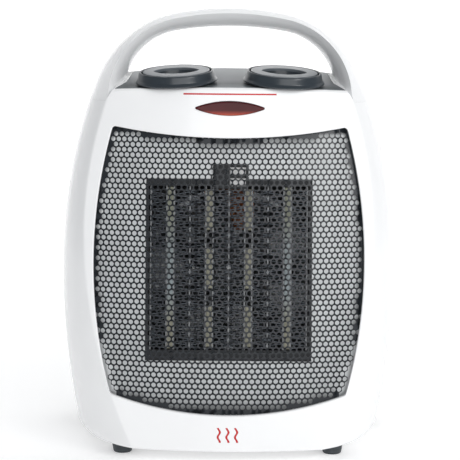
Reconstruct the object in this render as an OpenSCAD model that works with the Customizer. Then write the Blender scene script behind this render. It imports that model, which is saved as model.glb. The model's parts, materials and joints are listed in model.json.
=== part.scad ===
// Desktop ceramic (PTC) fan heater with a carrying handle, two top knobs and a bowed front grille.
// The front faces -Y, +Z is up, and the origin is on the floor under the middle of the body. Millimetres.

/* [Body] */
// Width across the widest part of the sides
body_w = 195; // [160:1:240]
// Height from the floor to the top of the handle
body_h = 254; // [215:1:310]
// Depth from the front face to the back wall
body_d = 150; // [140:1:185]
// Height at which the sides are widest
widest_z = 103; // [95:1:120]
// Radius of the sides above the widest height
side_r_up = 310; // [290:5:400]
// Radius of the sides below the widest height
side_r_down = 430; // [380:5:520]
// Radius of the handle's shoulders
shoulder_r = 60.6; // [50:0.2:70]
// Radius of the handle's top
top_r = 161; // [150:1:200]
// Radius of the bottom corners, seen from the front
corner_r = 8; // [6:1:16]
// Wall of both housings
wall = 2.2; // [1.8:0.1:3]
// Gap between the floor and the underside of the body
floor_gap = 6.8; // [5:0.1:10]
// Where the front and rear housings meet, from the middle of the depth
parting_y = 4; // [0:1:10]

/* [Front face] */
// Radius of the front face seen from above
plan_r = 235; // [215:5:300]
// Radius of the front face seen from the side
profile_r = 700; // [600:10:900]
// Height at which the front face is upright
profile_z = 15; // [5:1:30]
// Width of the side band at the shoulder
band_top = 12; // [10:0.5:16]
// Width of the side band at the base
band_bottom = 33.5; // [26:0.5:36]
// Margin between the side band's crease and the grille opening at its widest
window_margin = 5.2; // [4:0.2:9]
// Height of the middle of the grille opening
window_z = 111.5; // [105:0.5:118]
// Radius of the grille opening's sides
window_side_r = 280; // [240:5:340]
// Lowest point of the grille opening
window_low = 27.5; // [24:0.5:34]
// Radius of the grille opening's lower edge
window_low_r = 224; // [190:2:260]
// Middle of the grille opening's upper edge
window_high = 180; // [170:0.5:183]
// Radius of the grille opening's upper edge
window_high_r = 360; // [300:5:450]
// Sheet of the front grille
grille_t = 0.8; // [0.6:0.1:1.2]
// Length of the indicator lens
lens_w = 38.4; // [28:0.2:46]
// Height of the indicator lens
lens_h = 7.8; // [5:0.2:9]
// Height of the indicator lens above the grille opening
lens_rise = 16.5; // [13:0.5:18]

/* [Handle] */
// Thickness of the handle at its top
handle_t = 10.9; // [9:0.1:14]
// Depth of the handle at its top
handle_d = 26; // [20:1:32]
// Thickness of the handle's legs at the shoulder
leg_t = 19.5; // [16:0.5:24]
// Radius of the opening's shoulders under the handle
loop_shoulder_r = 36.5; // [28:0.5:44]
// Radius of the opening's top under the handle
loop_top_r = 185; // [150:5:240]

/* [Control panel] */
// Forward slope of the panel
panel_tilt = 9.4; // [6:0.2:13]
// Height of the panel's front edge
panel_z = 208; // [206:0.5:214]
// Radius of the panel's crown from side to side
crown_r = 700; // [500:10:1200]
// Length of the panel up the slope
panel_l = 64; // [60:0.5:68]
// Half width of the panel at its front
panel_half = 66; // [60:0.5:68]
// Thickness of the panel
panel_t = 2.5; // [2:0.1:3]
// Distance between the knobs
knob_pitch = 61; // [56:0.5:70]
// Diameter of the knobs at their base
knob_d = 46.6; // [38:0.2:48]
// Height of the knobs above the panel
knob_h = 6.8; // [5:0.2:9]
// Distance of the knobs from the panel's front edge
knob_back = 18.5; // [17:0.5:26]
// Diameter of the spindles
spindle_d = 6; // [5:0.1:7]

/* [Heater core] */
// Lean of the heating element, fan and motor
core_lean = 7; // [4:0.5:9]
// Depth at which the core's front plane stands, from the front face
core_back = 29; // [27:0.5:34]
// Height of the middle of the core
core_z = 105; // [100:0.5:112]
// Width of the heating element
element_w = 94; // [80:1:100]
// Height of the heating element
element_h = 103; // [90:1:108]
// Thickness of the heating element
element_t = 15; // [12:0.5:17]
// Distance between the stone columns
column_pitch = 22.2; // [18:0.1:23]
// Outer diameter of the fan
fan_d = 92; // [80:1:96]
// Diameter of the motor shaft
shaft_d = 4; // [3:0.1:5]

/* [Base] */
// Distance between the left and right feet
foot_pitch_x = 120; // [100:1:124]
// Distance between the front and rear feet
foot_pitch_y = 96; // [86:1:104]
// Diameter of the feet
foot_d = 12.4; // [10:0.2:16]
// Travel of the tip-over plunger
tip_travel = 4; // [3:0.5:5]
// Diameter of the hole for the mains cord
cord_hole_d = 6.8; // [6:0.2:8]

/* [Hidden] */
$fn = 48;
fit = 0.2;          // clearance between pieces that drop into each other
run = 0.05;         // radial clearance of a turning shaft
half_w = body_w / 2;
front_y = -body_d / 2;
back_y = body_d / 2;
base_z = floor_gap;
far = 400;          // longer than anything cut here

// ---------- curves of the outside ----------
// How far an arc of radius r has fallen away at distance d from its crest
function sagitta(r, d) = r - sqrt(r * r - d * d);
// Where two circles cross, on the right of the line from a to b
function crossing(a, ra, b, rb) =
    let (v = b - a, d = norm(v), m = (ra * ra - rb * rb + d * d) / (2 * d), h = sqrt(ra * ra - m * m))
    a + m * v / d + h * [-v[1], v[0]] / d;
side_c = [half_w - side_r_up, widest_z];
top_c = [0, body_h - top_r];
shoulder_c = crossing(side_c, side_r_up - shoulder_r, top_c, top_r - shoulder_r);
shoulder_join = side_c + (shoulder_c - side_c) / norm(shoulder_c - side_c) * side_r_up;
// Half width of the outline at a height
function half_at(z) = z < widest_z ? half_w - sagitta(side_r_down, widest_z - z)
    : z < shoulder_join[1] ? half_w - sagitta(side_r_up, z - widest_z)
    : shoulder_c[0] + sqrt(shoulder_r * shoulder_r - pow(z - shoulder_c[1], 2));
// What the round bottom corner takes off that half width
function corner_cut(z) = z - base_z < corner_r ? sagitta(corner_r, corner_r - (z - base_z)) : 0;
// Width of the side band, which widens towards the base
function spread_at(z) = pow(max(0, panel_z - z) / (panel_z - base_z), 2.2);
function band_at(z) = band_top + (band_bottom - band_top) * spread_at(z);
// Fullness of the side band, which is rounder near the base
function turn_at(z) = 1.1 - 0.5 * spread_at(z);
function crease_at(z) = half_at(z) - band_at(z);
// Front face: turned about an upright axis, leaning back with height
function front_at(x, z, inset = 0) =
    front_y + plan_r - sqrt(pow(plan_r - inset - sagitta(profile_r, z - profile_z), 2) - x * x);
// Back wall, which leans forward above back_bend_z
back_bend_z = 120;
back_lean = 56;
function back_at(z) = back_y - (z < back_bend_z ? 0
    : back_lean * pow((z - back_bend_z) / (body_h - 36 - back_bend_z), 2));
function bezier(a, b, c, t) = (1 - t) * (1 - t) * a + 2 * t * (1 - t) * b + t * t * c;

// One level outline of the body, drawn t inside the outer skin
side_y = -6;        // where the side band has turned square to the front
back_power = 4.5;   // squareness of the rear corners
function half_ring(z, t, low) =
    let (w = half_at(z) - corner_cut(low ? z - t : z) - t, c = crease_at(z) - 0.55 * t,
        y = front_at(c, z, t), y_back = back_at(z) - t)
    concat([for (i = [0:5]) [c * i / 5, front_at(c * i / 5, z, t)]],
        [for (i = [1:4]) bezier([c, y], [w, y + turn_at(z) * (w - c)], [w, side_y], i / 4)],
        [for (a = [15:15:90]) [w * pow(cos(a), 2 / back_power) * (a < 90 ? 1 : 0),
            side_y + (y_back - side_y) * pow(sin(a), 2 / back_power)]]);
function ring(z, t, low = false) = let (h = half_ring(z, t, low), n = len(h))
    [for (i = [0:2 * n - 3]) let (p = h[i < n ? i : 2 * n - 2 - i]) [i < n ? p[0] : -p[0], p[1], z]];
function flat(lists) = [for (l = lists) for (p = l) p];
// Closed skin over a stack of loops with equally many points
module skin(loops) {
    n = len(loops[0]);
    m = len(loops);
    sides = [for (j = [0:m - 2]) for (i = [0:n - 1]) let (a = j * n + i, b = j * n + (i + 1) % n)
        for (f = [[a, a + n, b + n], [a, b + n, b]]) f];
    caps = [[for (i = [0:n - 1]) i], [for (i = [n - 1:-1:0]) (m - 1) * n + i]];
    polyhedron(points = flat(loops), faces = concat(sides, caps), convexity = 8);
}
body_levels = 20;
body_top = panel_z + 15;
module body_skin(t) {
    low = base_z + t;
    rise = corner_r;
    levels = concat([for (a = [0:22.5:67.5]) low + rise * (1 - cos(a))],
        [for (i = [0:body_levels - 5]) low + rise + (body_top - low - rise) * i / (body_levels - 5)]);
    skin([for (z = levels) ring(z, t, true)]);
}

// ---------- handle ----------
loop_half = half_at(panel_z - 8) - leg_t;
loop_top_c = [0, body_h - handle_t - loop_top_r];
loop_c = [loop_half - loop_shoulder_r,
    loop_top_c[1] + sqrt(pow(loop_top_r - loop_shoulder_r, 2) - pow(loop_half - loop_shoulder_r, 2))];
leg_z = panel_z - 20;
function turn_of(c, p) = atan2(p[1] - c[1], p[0] - c[0]);
function on_arc(c, r, a) = c + r * [cos(a), sin(a)];
function arc_run(c, r, a, b, n, from = 1) = [for (i = [from:n]) on_arc(c, r, a + (b - a) * i / n)];
shoulder_low = turn_of(side_c, shoulder_join);
shoulder_high = turn_of(top_c, shoulder_c);
outer_rail = concat(
    arc_run(side_c, side_r_up, asin((leg_z - widest_z) / side_r_up), shoulder_low, 3, 0),
    arc_run(shoulder_c, shoulder_r, shoulder_low, shoulder_high, 7),
    arc_run(top_c, top_r, shoulder_high, 90, 3));
inner_rail = concat(
    [for (i = [0:3]) [loop_half, leg_z + (loop_c[1] - leg_z) * i / 3]],
    arc_run(loop_c, loop_shoulder_r, 0, turn_of(loop_top_c, loop_c), 7),
    arc_run(loop_top_c, loop_top_r, turn_of(loop_top_c, loop_c), 90, 3));
// How far down from the handle's top a point is: 0 at the top, 1 at the shoulder
function fall(z) = min(1, max(0, (body_h - z) / (body_h - panel_z + 8)));
function ridge_front(z) = parting_y - handle_d / 2
    + (front_at(crease_at(panel_z - 8), panel_z - 8) - parting_y + handle_d / 2) * pow(fall(z), 1.5);
function ridge_back(z) = parting_y + handle_d / 2 + 12 * pow(fall(z), 1.5);
// Cross-section of the handle between its two rails, drawn inset inside its skin. The legs stand
// leg_step inside the body's own sides, so that the two skins cross cleanly.
leg_step = 0.5;
function handle_loop(k, inset, side) =
    let (o = outer_rail[k], i = inner_rail[k], m = (o + i) / 2, h = (o - i) / 2, z = m[1], f = fall(z),
        t = inset + leg_step * f * f,
        s = (norm(h) - t) / norm(h), sharp = 0.45 * f, ridge = 0.35 - 0.5 * f,
        yf = ridge_front(z) + 1.4 * t, yb = ridge_back(z) - 1.4 * t, yp = parting_y,
        q = concat(
            [for (u = [0:3]) bezier([1, yp], [1, yf + sharp * (yp - yf)], [ridge, yf], u / 4)],
            [for (u = [0:3]) bezier([ridge, yf], [-1, yf + sharp * (yp - yf)], [-1, yp], u / 4)],
            [for (u = [0:2]) bezier([-1, yp], [-1, yb + sharp * (yp - yb)], [0, yb], u / 3)],
            [for (u = [0:2]) bezier([0, yb], [1, yb + sharp * (yp - yb)], [1, yp], u / 3)]))
    [for (p = q) let (c = m + h * s * p[0]) [side * c[0], p[1], c[1]]];
module handle_skin(t) {
    n = len(outer_rail);
    skin(concat([for (k = [0:n - 1]) handle_loop(k, t, -1)],
        [for (k = [n - 2:-1:0]) handle_loop(k, t, 1)]));
}

// ---------- shared shapes ----------
// Solid behind the front face, inset from it: true turned surface
module drum(inset) {
    translate([0, front_y + plan_r, 0])
        rotate_extrude($fn = 180) intersection() {
            translate([plan_r - profile_r, profile_z]) circle(r = profile_r - inset, $fn = 180);
            translate([0, -60]) square([far, far]);
        }
}
module front_shell(from, to) {
    difference() {
        drum(from);
        drum(to);
    }
}
// Prism along Y of an outline drawn in X and Z
module through_front(y0 = -far / 2, y1 = far / 2) {
    translate([0, y1, 0]) rotate([90, 0, 0]) linear_extrude(y1 - y0) children();
}
window_half = crease_at(widest_z + 8) - window_margin;
module window_2d(grow) {
    difference() {
        intersection() {
            translate([window_side_r - window_half, window_z]) circle(r = window_side_r + grow, $fn = 180);
            translate([window_half - window_side_r, window_z]) circle(r = window_side_r + grow, $fn = 180);
            translate([0, window_low + window_low_r]) circle(r = window_low_r + grow, $fn = 180);
        }
        translate([0, window_high + window_high_r]) circle(r = window_high_r - grow, $fn = 180);
    }
}
// Front face inside the side bands' creases, less an edge
module crease_2d(edge) {
    zs = [20:6:194];
    polygon(concat([for (z = zs) [crease_at(z) - edge, z]],
        [for (z = zs) [edge - crease_at(214 - z), 214 - z]]));
}
module lens_2d(grow) {
    r = (lens_w * lens_w / 4 + lens_h * lens_h / 4) / lens_h;
    intersection() {
        translate([0, lens_z + r - lens_h / 2]) circle(r = r + grow, $fn = 180);
        translate([0, lens_z - r + lens_h / 2]) circle(r = r + grow, $fn = 180);
    }
}
lens_z = window_high + lens_rise;

// Frame of the control panel: origin at the middle of its front edge, Y up the slope, Z out of the panel
panel_rim = 2.3;    // width of the white rim in front of the panel
panel_y = front_at(0, panel_z) + panel_rim;
panel_back_half = panel_half - 8;
module at_panel() {
    translate([0, panel_y, panel_z]) rotate([panel_tilt, 0, 0]) children();
}
module under_crown(depth) {
    at_panel() translate([0, -80, -crown_r]) rotate([-90, 0, 0])
        cylinder(r = crown_r - depth, h = 240, $fn = 180);
}
module panel_outline(grow) {
    r = plan_r - sagitta(profile_r, panel_z - profile_z) - panel_rim;
    w = panel_half + grow;
    v = panel_back_half + grow;
    intersection() {
        translate([0, r]) circle(r = r + grow, $fn = 180);
        polygon([[-w, -grow - 1], [w, -grow - 1], [w, 12], [v + 2, 30], [v, panel_l + grow],
            [-v, panel_l + grow], [-v - 2, 30], [-w, 12]]);
    }
}
module panel_prism(grow) {
    at_panel() translate([0, 0, -30]) linear_extrude(31) panel_outline(grow);
}
// Frame of a knob: origin on the panel, Z along the spindle. side is -1 for the mode, 1 for the thermostat
knob_lean = asin(knob_pitch / 2 / crown_r);
module at_knob(side) {
    at_panel() translate([side * knob_pitch / 2, knob_back, -sagitta(crown_r, knob_pitch / 2)])
        rotate([0, side * knob_lean, 0]) children();
}
// Frame of the heater core: Y runs back along the air path, origin in the core's front plane
core_y = front_y + core_back;
module at_core() {
    translate([0, core_y, core_z]) rotate([-core_lean, 0, 0]) children();
}
module core_box(x0, x1, y0, y1, z0, z1) {
    translate([x0, y0, z0]) cube([x1 - x0, y1 - y0, z1 - z0]);
}
// Cylinder along Y from y0 to y1
module rod(r, y0, y1) {
    translate([0, y0, 0]) rotate([-90, 0, 0]) cylinder(r = r, h = y1 - y0);
}

// ---------- housings ----------
screw_zs = [32, 172];
boss_r = 5;
screw_r = 1.5;
head_r = 2.8;
post_r = 3.4;
module at_screws() {
    for (z = screw_zs) for (s = [-1, 1])
        translate([s * (half_at(z) - wall - boss_r + 0.8), parting_y, z]) children();
}
module at_feet() {
    for (x = [-1, 1]) for (y = [-1, 1]) translate([x * foot_pitch_x / 2, y * foot_pitch_y / 2, 0]) children();
}
foot_stem_r = 2.4;
module outer_form() {
    intersection() {
        body_skin(0);
        under_crown(0);
    }
    handle_skin(0);
}
roof = panel_t + wall;
module inner_form() {
    intersection() {
        body_skin(wall);
        under_crown(roof);
    }
    handle_skin(wall);
}
module side_of_parting(front) {
    y0 = front ? parting_y - far : parting_y;
    translate([-far / 2, y0, -10]) cube([far, far, far]);
}
module panel_seat() {
    difference() {
        panel_prism(fit);
        under_crown(panel_t + fit / 2);
    }
    panel_prism(-3);
}
boss_front = 16;
module front_housing() color("white") difference() {
    intersection() {
        outer_form();
        side_of_parting(true);
    }
    difference() {
        inner_form();
        at_screws() rod(boss_r, -boss_front, 20);
    }
    through_front(front_y - 5, core_y + 10) window_2d(0);
    through_front(front_y - 5, core_y + 10) lens_2d(fit);
    panel_seat();
    at_screws() rod(screw_r - 0.3, -boss_front + 3, 20);
    at_feet() translate([0, 0, base_z - 1]) cylinder(r = foot_stem_r, h = 10);
}
plunger_r = 3;
plunger_y = 30;
seat_y = 9;         // depth of the screw head's seat behind the parting
intake_w = 112;
intake_z = [38, 130];
intake_t = 1.6;
intake_y = back_y - wall - 4.3;   // front of the intake grille, which sits inside the wall
bush_at = [-52, 26];
bush_r = 5.4;
module rear_housing() color("white") difference() {
    intersection() {
        outer_form();
        side_of_parting(false);
    }
    difference() {
        inner_form();
        at_screws() rod(boss_r, -20, back_y);
    }
    panel_seat();
    at_screws() rod(screw_r + 0.2, -1, 20);
    at_screws() rod(head_r + 0.4, seat_y, far);
    at_feet() translate([0, 0, base_z - 1]) cylinder(r = foot_stem_r, h = 10);
    translate([0, plunger_y, base_z - 1]) cylinder(r = plunger_r + 0.4, h = 8);
    core_box(-intake_w / 2 + 4, intake_w / 2 - 4, back_y - 20, back_y + 5, intake_z[0] + 4, intake_z[1] - 4);
    translate([bush_at[0], 0, bush_at[1]]) rod(bush_r, back_y - 30, far);
}
slot_pitch = 7;
slot_h = 3.6;
louvre_l = 8;       // each slot has a louvre behind it that hides the inside
louvre_t = 0.9;
module rear_intake_grille() color("whitesmoke") {
    x = intake_w / 2;
    slots = floor((intake_z[1] - intake_z[0] - 14) / slot_pitch);
    slot_zs = [for (k = [0:slots - 1]) (intake_z[0] + intake_z[1]) / 2 + (k - (slots - 1) / 2) * slot_pitch];
    difference() {
        core_box(-x, x, intake_y, intake_y + intake_t, intake_z[0], intake_z[1]);
        for (z = slot_zs) for (c = [-1:1])
            core_box(c * 34 - 15.5, c * 34 + 15.5, back_y - 10, back_y + 5, z - slot_h / 2, z + slot_h / 2);
    }
    for (z = slot_zs) translate([0, intake_y + 0.5, z + slot_h / 2 + 0.2]) rotate([45, 0, 0])
        core_box(-x + 4, x - 4, -louvre_l, 0, -louvre_t, 0);
}
module front_grille() color("#20262b") intersection() {
    front_shell(wall + 0.25, wall + 0.25 + grille_t);
    through_front(front_y - 5, core_y + 20) intersection() {
        window_2d(3.5);
        crease_2d(1.7);
    }
}
module indicator_lens() color("#7a1d1a") {
    intersection() {
        front_shell(-0.4, wall + 1);
        through_front(front_y - 5, core_y + 10) lens_2d(0);
    }
    intersection() {
        front_shell(wall + 0.25, wall + 1.2);
        through_front(front_y - 5, core_y + 10) lens_2d(1.6);
    }
}
lamp_y = front_at(0, lens_z) + wall + 6.8;
lamp_r = 2.6;
module indicator_lamp() color("orange") translate([-7, lamp_y, lens_z]) rotate([0, 90, 0]) {
    cylinder(r = lamp_r, h = 12);
    translate([0, 0, 12]) cylinder(r1 = lamp_r, r2 = 1, h = 2.5);
}
module lamp_holder() color("ivory") difference() {
    core_box(-10, -1, lamp_y - 3.6, lamp_y + 6, lens_z - 3.8, lens_z + 3.8);
    translate([-8, lamp_y, lens_z]) rotate([0, 90, 0]) cylinder(r = lamp_r + run, h = 10);
}

// ---------- control panel ----------
stem_r = spindle_d / 2 + 3;
switch_top = -14;
post_x = 17;
module at_posts() {
    for (s = [-1, 1]) at_knob(s) for (p = [-1, 1]) translate([p * post_x, 4, 0]) children();
}
module control_panel() color("#8f9598") difference() {
    union() {
        intersection() {
            difference() {
                under_crown(0);
                under_crown(panel_t);
            }
            panel_prism(0);
        }
        at_posts() translate([0, 0, switch_top]) cylinder(r = post_r, h = -switch_top - panel_t / 2);
    }
    for (s = [-1, 1]) at_knob(s) translate([0, 0, -10]) cylinder(r = stem_r + 0.5, h = 20);
    at_posts() translate([0, 0, switch_top - 1]) cylinder(r = 1.1, h = -switch_top - panel_t - 1);
}
module control_screws() color("silver") at_posts() translate([0, 0, switch_top]) {
    translate([0, 0, -1.4]) cylinder(r = 1.05, h = 9);
    translate([0, 0, -3.2]) cylinder(r = 2.3, h = 1.8);
}
// Pointed oval that fingers grip, cut into the knob's top
module eye_2d(grow) {
    l = knob_d * 0.55;
    h = knob_d * 0.42;
    r = (l * l / 4 + h * h / 4) / h;
    intersection() {
        translate([0, r - h / 2]) circle(r = r + grow);
        translate([0, h / 2 - r]) circle(r = r + grow);
    }
}
knob_gap = 0.6;
ring_t = 1.4;
knob_r = knob_d / 2;
module knob(side) at_knob(side) difference() {
    union() {
        rotate_extrude() polygon([[0, knob_gap], [knob_r, knob_gap], [knob_r, knob_gap + 0.9],
            [knob_r - 1.1, knob_gap + 1.8], [knob_r - 2.4, knob_h - 0.9], [knob_r - 3, knob_h - 0.4],
            [knob_r - 3.2, knob_h - ring_t], [0, knob_h - ring_t]]);
        translate([0, 0, -8]) cylinder(r = stem_r, h = 9);
    }
    translate([0, 0, 2.6]) linear_extrude(10) eye_2d(0);
    translate([0, 0, -9]) cylinder(r = spindle_d / 2 + run, h = 9.5);
}
module knob_ring(side) at_knob(side) difference() {
    translate([0, 0, knob_h - ring_t]) cylinder(r = knob_r - 3.6, h = ring_t);
    translate([0, 0, 2]) linear_extrude(10) eye_2d(0.4);
}
module spindle(side) at_knob(side) difference() {
    translate([0, 0, switch_top - 7]) cylinder(r = spindle_d / 2, h = -switch_top + 7);
    translate([spindle_d / 2 - 1, -5, -8]) cube([5, 10, 9]);
}
module switch_body(w, l, h) difference() {
    union() {
        translate([-w / 2, -7, switch_top - h - 1]) cube([w, l, h]);
        translate([-post_x - 4, 0, switch_top - 1.2]) cube([2 * post_x + 8, 8, 1]);
        translate([0, 0, switch_top - 1]) cylinder(r = 4.6, h = 5);
    }
    translate([0, 0, switch_top - 8]) cylinder(r = spindle_d / 2 + run, h = 20);
    for (p = [-1, 1]) translate([p * post_x, 4, switch_top - 3]) cylinder(r = 1.6, h = 5);
}
module mode_knob() color("#2e373d") knob(-1);
module thermostat_knob() color("#2e373d") knob(1);
module mode_knob_ring() color("#9aa0a4") knob_ring(-1);
module thermostat_knob_ring() color("#9aa0a4") knob_ring(1);
module mode_spindle() color("ivory") spindle(-1);
module thermostat_spindle() color("ivory") spindle(1);
module mode_switch() color("#3a3a3c") at_knob(-1) switch_body(26, 22, 11);
module thermostat() color("#c9c3b4") at_knob(1) switch_body(24, 20, 11);

// ---------- heater core ----------
plate_t = 2;
notch = [-9.5, 11, 60];   // left, right and top of the notch for the thermal cut-out
module baffle_panel() color("#b9bec0") difference() {
    intersection() {
        at_core() core_box(-far / 2, far / 2, 0, plate_t, -far / 2, far / 2);
        through_front() window_2d(4);
        drum(wall + 0.25 + grille_t + fit);
    }
    at_core() core_box(-element_w / 2 - fit, element_w / 2 + fit, -5, 10,
        -element_h / 2 - fit, element_h / 2 + fit);
    at_core() core_box(notch[0], notch[1], -5, 10, 0, notch[2]);
}
rail_top = 4;
rail_low = 6;
cheek = 1.4;
element_y = plate_t - 1.5;
module element_frame() color("#24282c") at_core() difference() {
    core_box(-element_w / 2, element_w / 2, element_y, element_y + element_t, -element_h / 2, element_h / 2);
    core_box(-element_w / 2 + cheek, element_w / 2 - cheek, -5, 30, -element_h / 2 + rail_low,
        element_h / 2 - rail_top);
}
columns = floor((element_w - 2 * cheek) / column_pitch);
column_xs = [for (i = [0:columns - 1]) (i - (columns - 1) / 2) * column_pitch];
stone_w = 3.4;
stone_l = 24.5;
stone_gap = 4;
plate_w = 0.8;
strip_y = [element_y + 2, element_y + element_t - 1];
strip_z = [-element_h / 2 + rail_low, element_h / 2 - rail_top];
strip_mid = (strip_z[0] + strip_z[1]) / 2;
module ptc_stones() color("#a5a591") at_core() for (x = column_xs) for (k = [-1:1])
    translate([x, 0, strip_mid + k * (stone_l + stone_gap)])
        core_box(-stone_w / 2, stone_w / 2, strip_y[0] + 1, strip_y[1], -stone_l / 2, stone_l / 2);
module electrode_plates() color("#8b9094") at_core() for (x = column_xs) for (s = [-1, 1])
    translate([x + s * (stone_w + plate_w) / 2, 0, 0])
        core_box(-plate_w / 2, plate_w / 2, strip_y[0], strip_y[1], strip_z[0], strip_z[1]);
module element_separators() color("#9a9fa3") at_core() for (i = [0:columns])
    translate([(i - columns / 2) * column_pitch, 0, 0])
        core_box(-0.4, 0.4, strip_y[0], strip_y[1], strip_z[0], strip_z[1]);
fin_pitch = 3;
fin_t = 0.5;
fin_w = column_pitch / 2 - stone_w / 2 - plate_w - 0.4;
// Folded fins between a plate and a separator: thin shelves on a common foil
module fin_strip() {
    n = floor((strip_z[1] - strip_z[0] - 1) / fin_pitch);
    z0 = strip_mid - (n * fin_pitch + fin_t) / 2;
    shelves = [for (i = [0:n]) let (z = z0 + i * fin_pitch)
        for (q = [[fin_t, z], [fin_w, z], [fin_w, z + fin_t], [fin_t, z + fin_t]]) q];
    through_front(strip_y[0], strip_y[1])
        polygon(concat([[0, z0]], shelves, [[0, z0 + n * fin_pitch + fin_t]]));
}
module element_fins() color("#4a5057") at_core() for (x = column_xs) {
    translate([x + stone_w / 2 + plate_w, 0, 0]) fin_strip();
    translate([x - stone_w / 2 - plate_w, 0, 0]) mirror([1, 0, 0]) fin_strip();
}
cutout_z = [element_h / 2 - rail_top / 2 - 2.5, notch[2] - 1.5];
module cutout_bracket() color("#30343a") at_core() difference() {
    core_box(notch[0] + 0.5, notch[1] - 0.5, -4, element_y, cutout_z[0] - 1, cutout_z[1] + 1);
    core_box(0, notch[1] - 1.5, -10, -1.2, cutout_z[0] + 0.2, cutout_z[1] - 0.2);
}
module thermal_cutout() color("white") at_core() {
    core_box(0.2, notch[1] - 1.7, -4.4, -1.3, cutout_z[0] + 0.4, cutout_z[1] - 0.4);
}
shroud_w = element_w + 4;
shroud_h = element_h + 4;
shroud_y = element_y + element_t + 0.2;
throat_y = shroud_y + 9;
tube_end = throat_y + 26;
tube_r = fan_d / 2 + 2.5;
arm_t = 4;
module duct_shroud() color("#2c2f33") at_core() difference() {
    union() {
        difference() {
            core_box(-shroud_w / 2, shroud_w / 2, shroud_y, throat_y, -shroud_h / 2, shroud_h / 2);
            core_box(-element_w / 2, element_w / 2, shroud_y - 5, throat_y - 2,
                -element_h / 2, element_h / 2);
            rod(tube_r, 0, 80);
        }
        difference() {
            rod(tube_r + 2, throat_y - 2, tube_end);
            rod(tube_r, 0, 80);
        }
        intersection() {
            rod(tube_r + 1, tube_end - arm_t, tube_end);
            union() {
                for (a = [45, 135]) rotate([0, a, 0])
                    core_box(-tube_r, tube_r, tube_end - arm_t, tube_end, -4, 4);
                core_box(-bracket_half - 3, bracket_half + 3, tube_end - arm_t, tube_end, -7, 7);
            }
        }
    }
    rod(8, 0, 80);
    for (s = [-1, 1]) translate([s * motor_screw_x, 0, 0]) rod(screw_r + 0.1, 0, 80);
}
hub_r = 13;
fan_y = [throat_y + 2, tube_end - arm_t - 3];
shaft_r = shaft_d / 2;
blades = 7;
module fan_impeller() color("#8d9296") at_core() difference() {
    union() {
        rod(hub_r, fan_y[0], fan_y[1]);
        intersection() {
            rod(fan_d / 2, fan_y[0], fan_y[1]);
            for (i = [0:blades - 1]) rotate([0, i * 360 / blades, 0])
                translate([hub_r - 3, (fan_y[0] + fan_y[1]) / 2, 0]) rotate([38, 0, 0])
                    translate([0, -12, -0.9]) cube([fan_d / 2, 24, 1.8]);
        }
    }
    difference() {
        rod(hub_r - 2.5, fan_y[0] + 3, far);
        rod(shaft_r + 2.5, 0, fan_y[1]);
    }
    rod(shaft_r, 0, far);
}
bracket_t = 2;
bracket_half = 24;
motor_screw_x = 19;
front_bracket_y = tube_end + 0.1;
stack_y = [front_bracket_y + 9, front_bracket_y + 25];
rear_bracket_y = stack_y[1] + 9;
bore_r = 11.6;
rotor_r = 11.2;
bush_outer = shaft_r + 2.6;
module motor_shaft() color("silver") at_core() rod(shaft_r, fan_y[0] - 1, rear_bracket_y + 5);
module motor_rotor() color("#7d8084") at_core() difference() {
    rod(rotor_r, stack_y[0] - 1, stack_y[1] + 1);
    rod(shaft_r, 0, far);
}
limb_z = [31, 42];
module motor_stator() color("#6f6a66") at_core() difference() {
    core_box(-bracket_half, bracket_half, stack_y[0], stack_y[1], -18, limb_z[1]);
    rod(bore_r, 0, far);
    core_box(-16, 16, 0, 200, 17, limb_z[0]);
    for (s = [-1, 1]) translate([s * motor_screw_x, 0, 0]) rod(screw_r + 0.1, 0, far);
}
module motor_coil() color("#b06a35") at_core() difference() {
    core_box(-15, 15, stack_y[0] - 7, stack_y[1] + 7, limb_z[0] - 8, limb_z[1] + 8);
    core_box(-30, 30, stack_y[0] - 0.2, stack_y[1] + 0.2, limb_z[0] - 0.2, limb_z[1] + 0.2);
}
module bearing_bracket(y) difference() {
    union() {
        core_box(-bracket_half, bracket_half, y, y + bracket_t, -7, 7);
        rod(bush_outer + 2, y, y + 5);
    }
    rod(bush_outer, 0, far);
    for (s = [-1, 1]) translate([s * motor_screw_x, 0, 0]) rod(screw_r + 0.1, 0, far);
}
module front_bearing_bracket() color("#b9bcbe") at_core() {
    bearing_bracket(front_bracket_y);
    for (s = [-1, 1]) translate([s * motor_screw_x, 0, 0]) difference() {
        rod(3.5, front_bracket_y + bracket_t, stack_y[0]);
        rod(screw_r + 0.1, 0, far);
    }
}
module rear_bearing_bracket() color("#b9bcbe") at_core() {
    bearing_bracket(rear_bracket_y);
    for (s = [-1, 1]) translate([s * motor_screw_x, 0, 0]) difference() {
        rod(3.5, stack_y[1], rear_bracket_y);
        rod(screw_r + 0.1, 0, far);
    }
}
module bearing_bushes() color("#b5893c") at_core() for (y = [front_bracket_y, rear_bracket_y]) difference() {
    rod(bush_outer, y, y + 5);
    rod(shaft_r + run, 0, far);
}
module motor_screws() color("silver") at_core() for (s = [-1, 1]) translate([s * motor_screw_x, 0, 0]) {
    rod(screw_r, tube_end - arm_t, rear_bracket_y + bracket_t);
    rod(head_r, rear_bracket_y + bracket_t, rear_bracket_y + bracket_t + 2.2);
    rod(head_r, tube_end - arm_t - 2, tube_end - arm_t);
}

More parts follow.
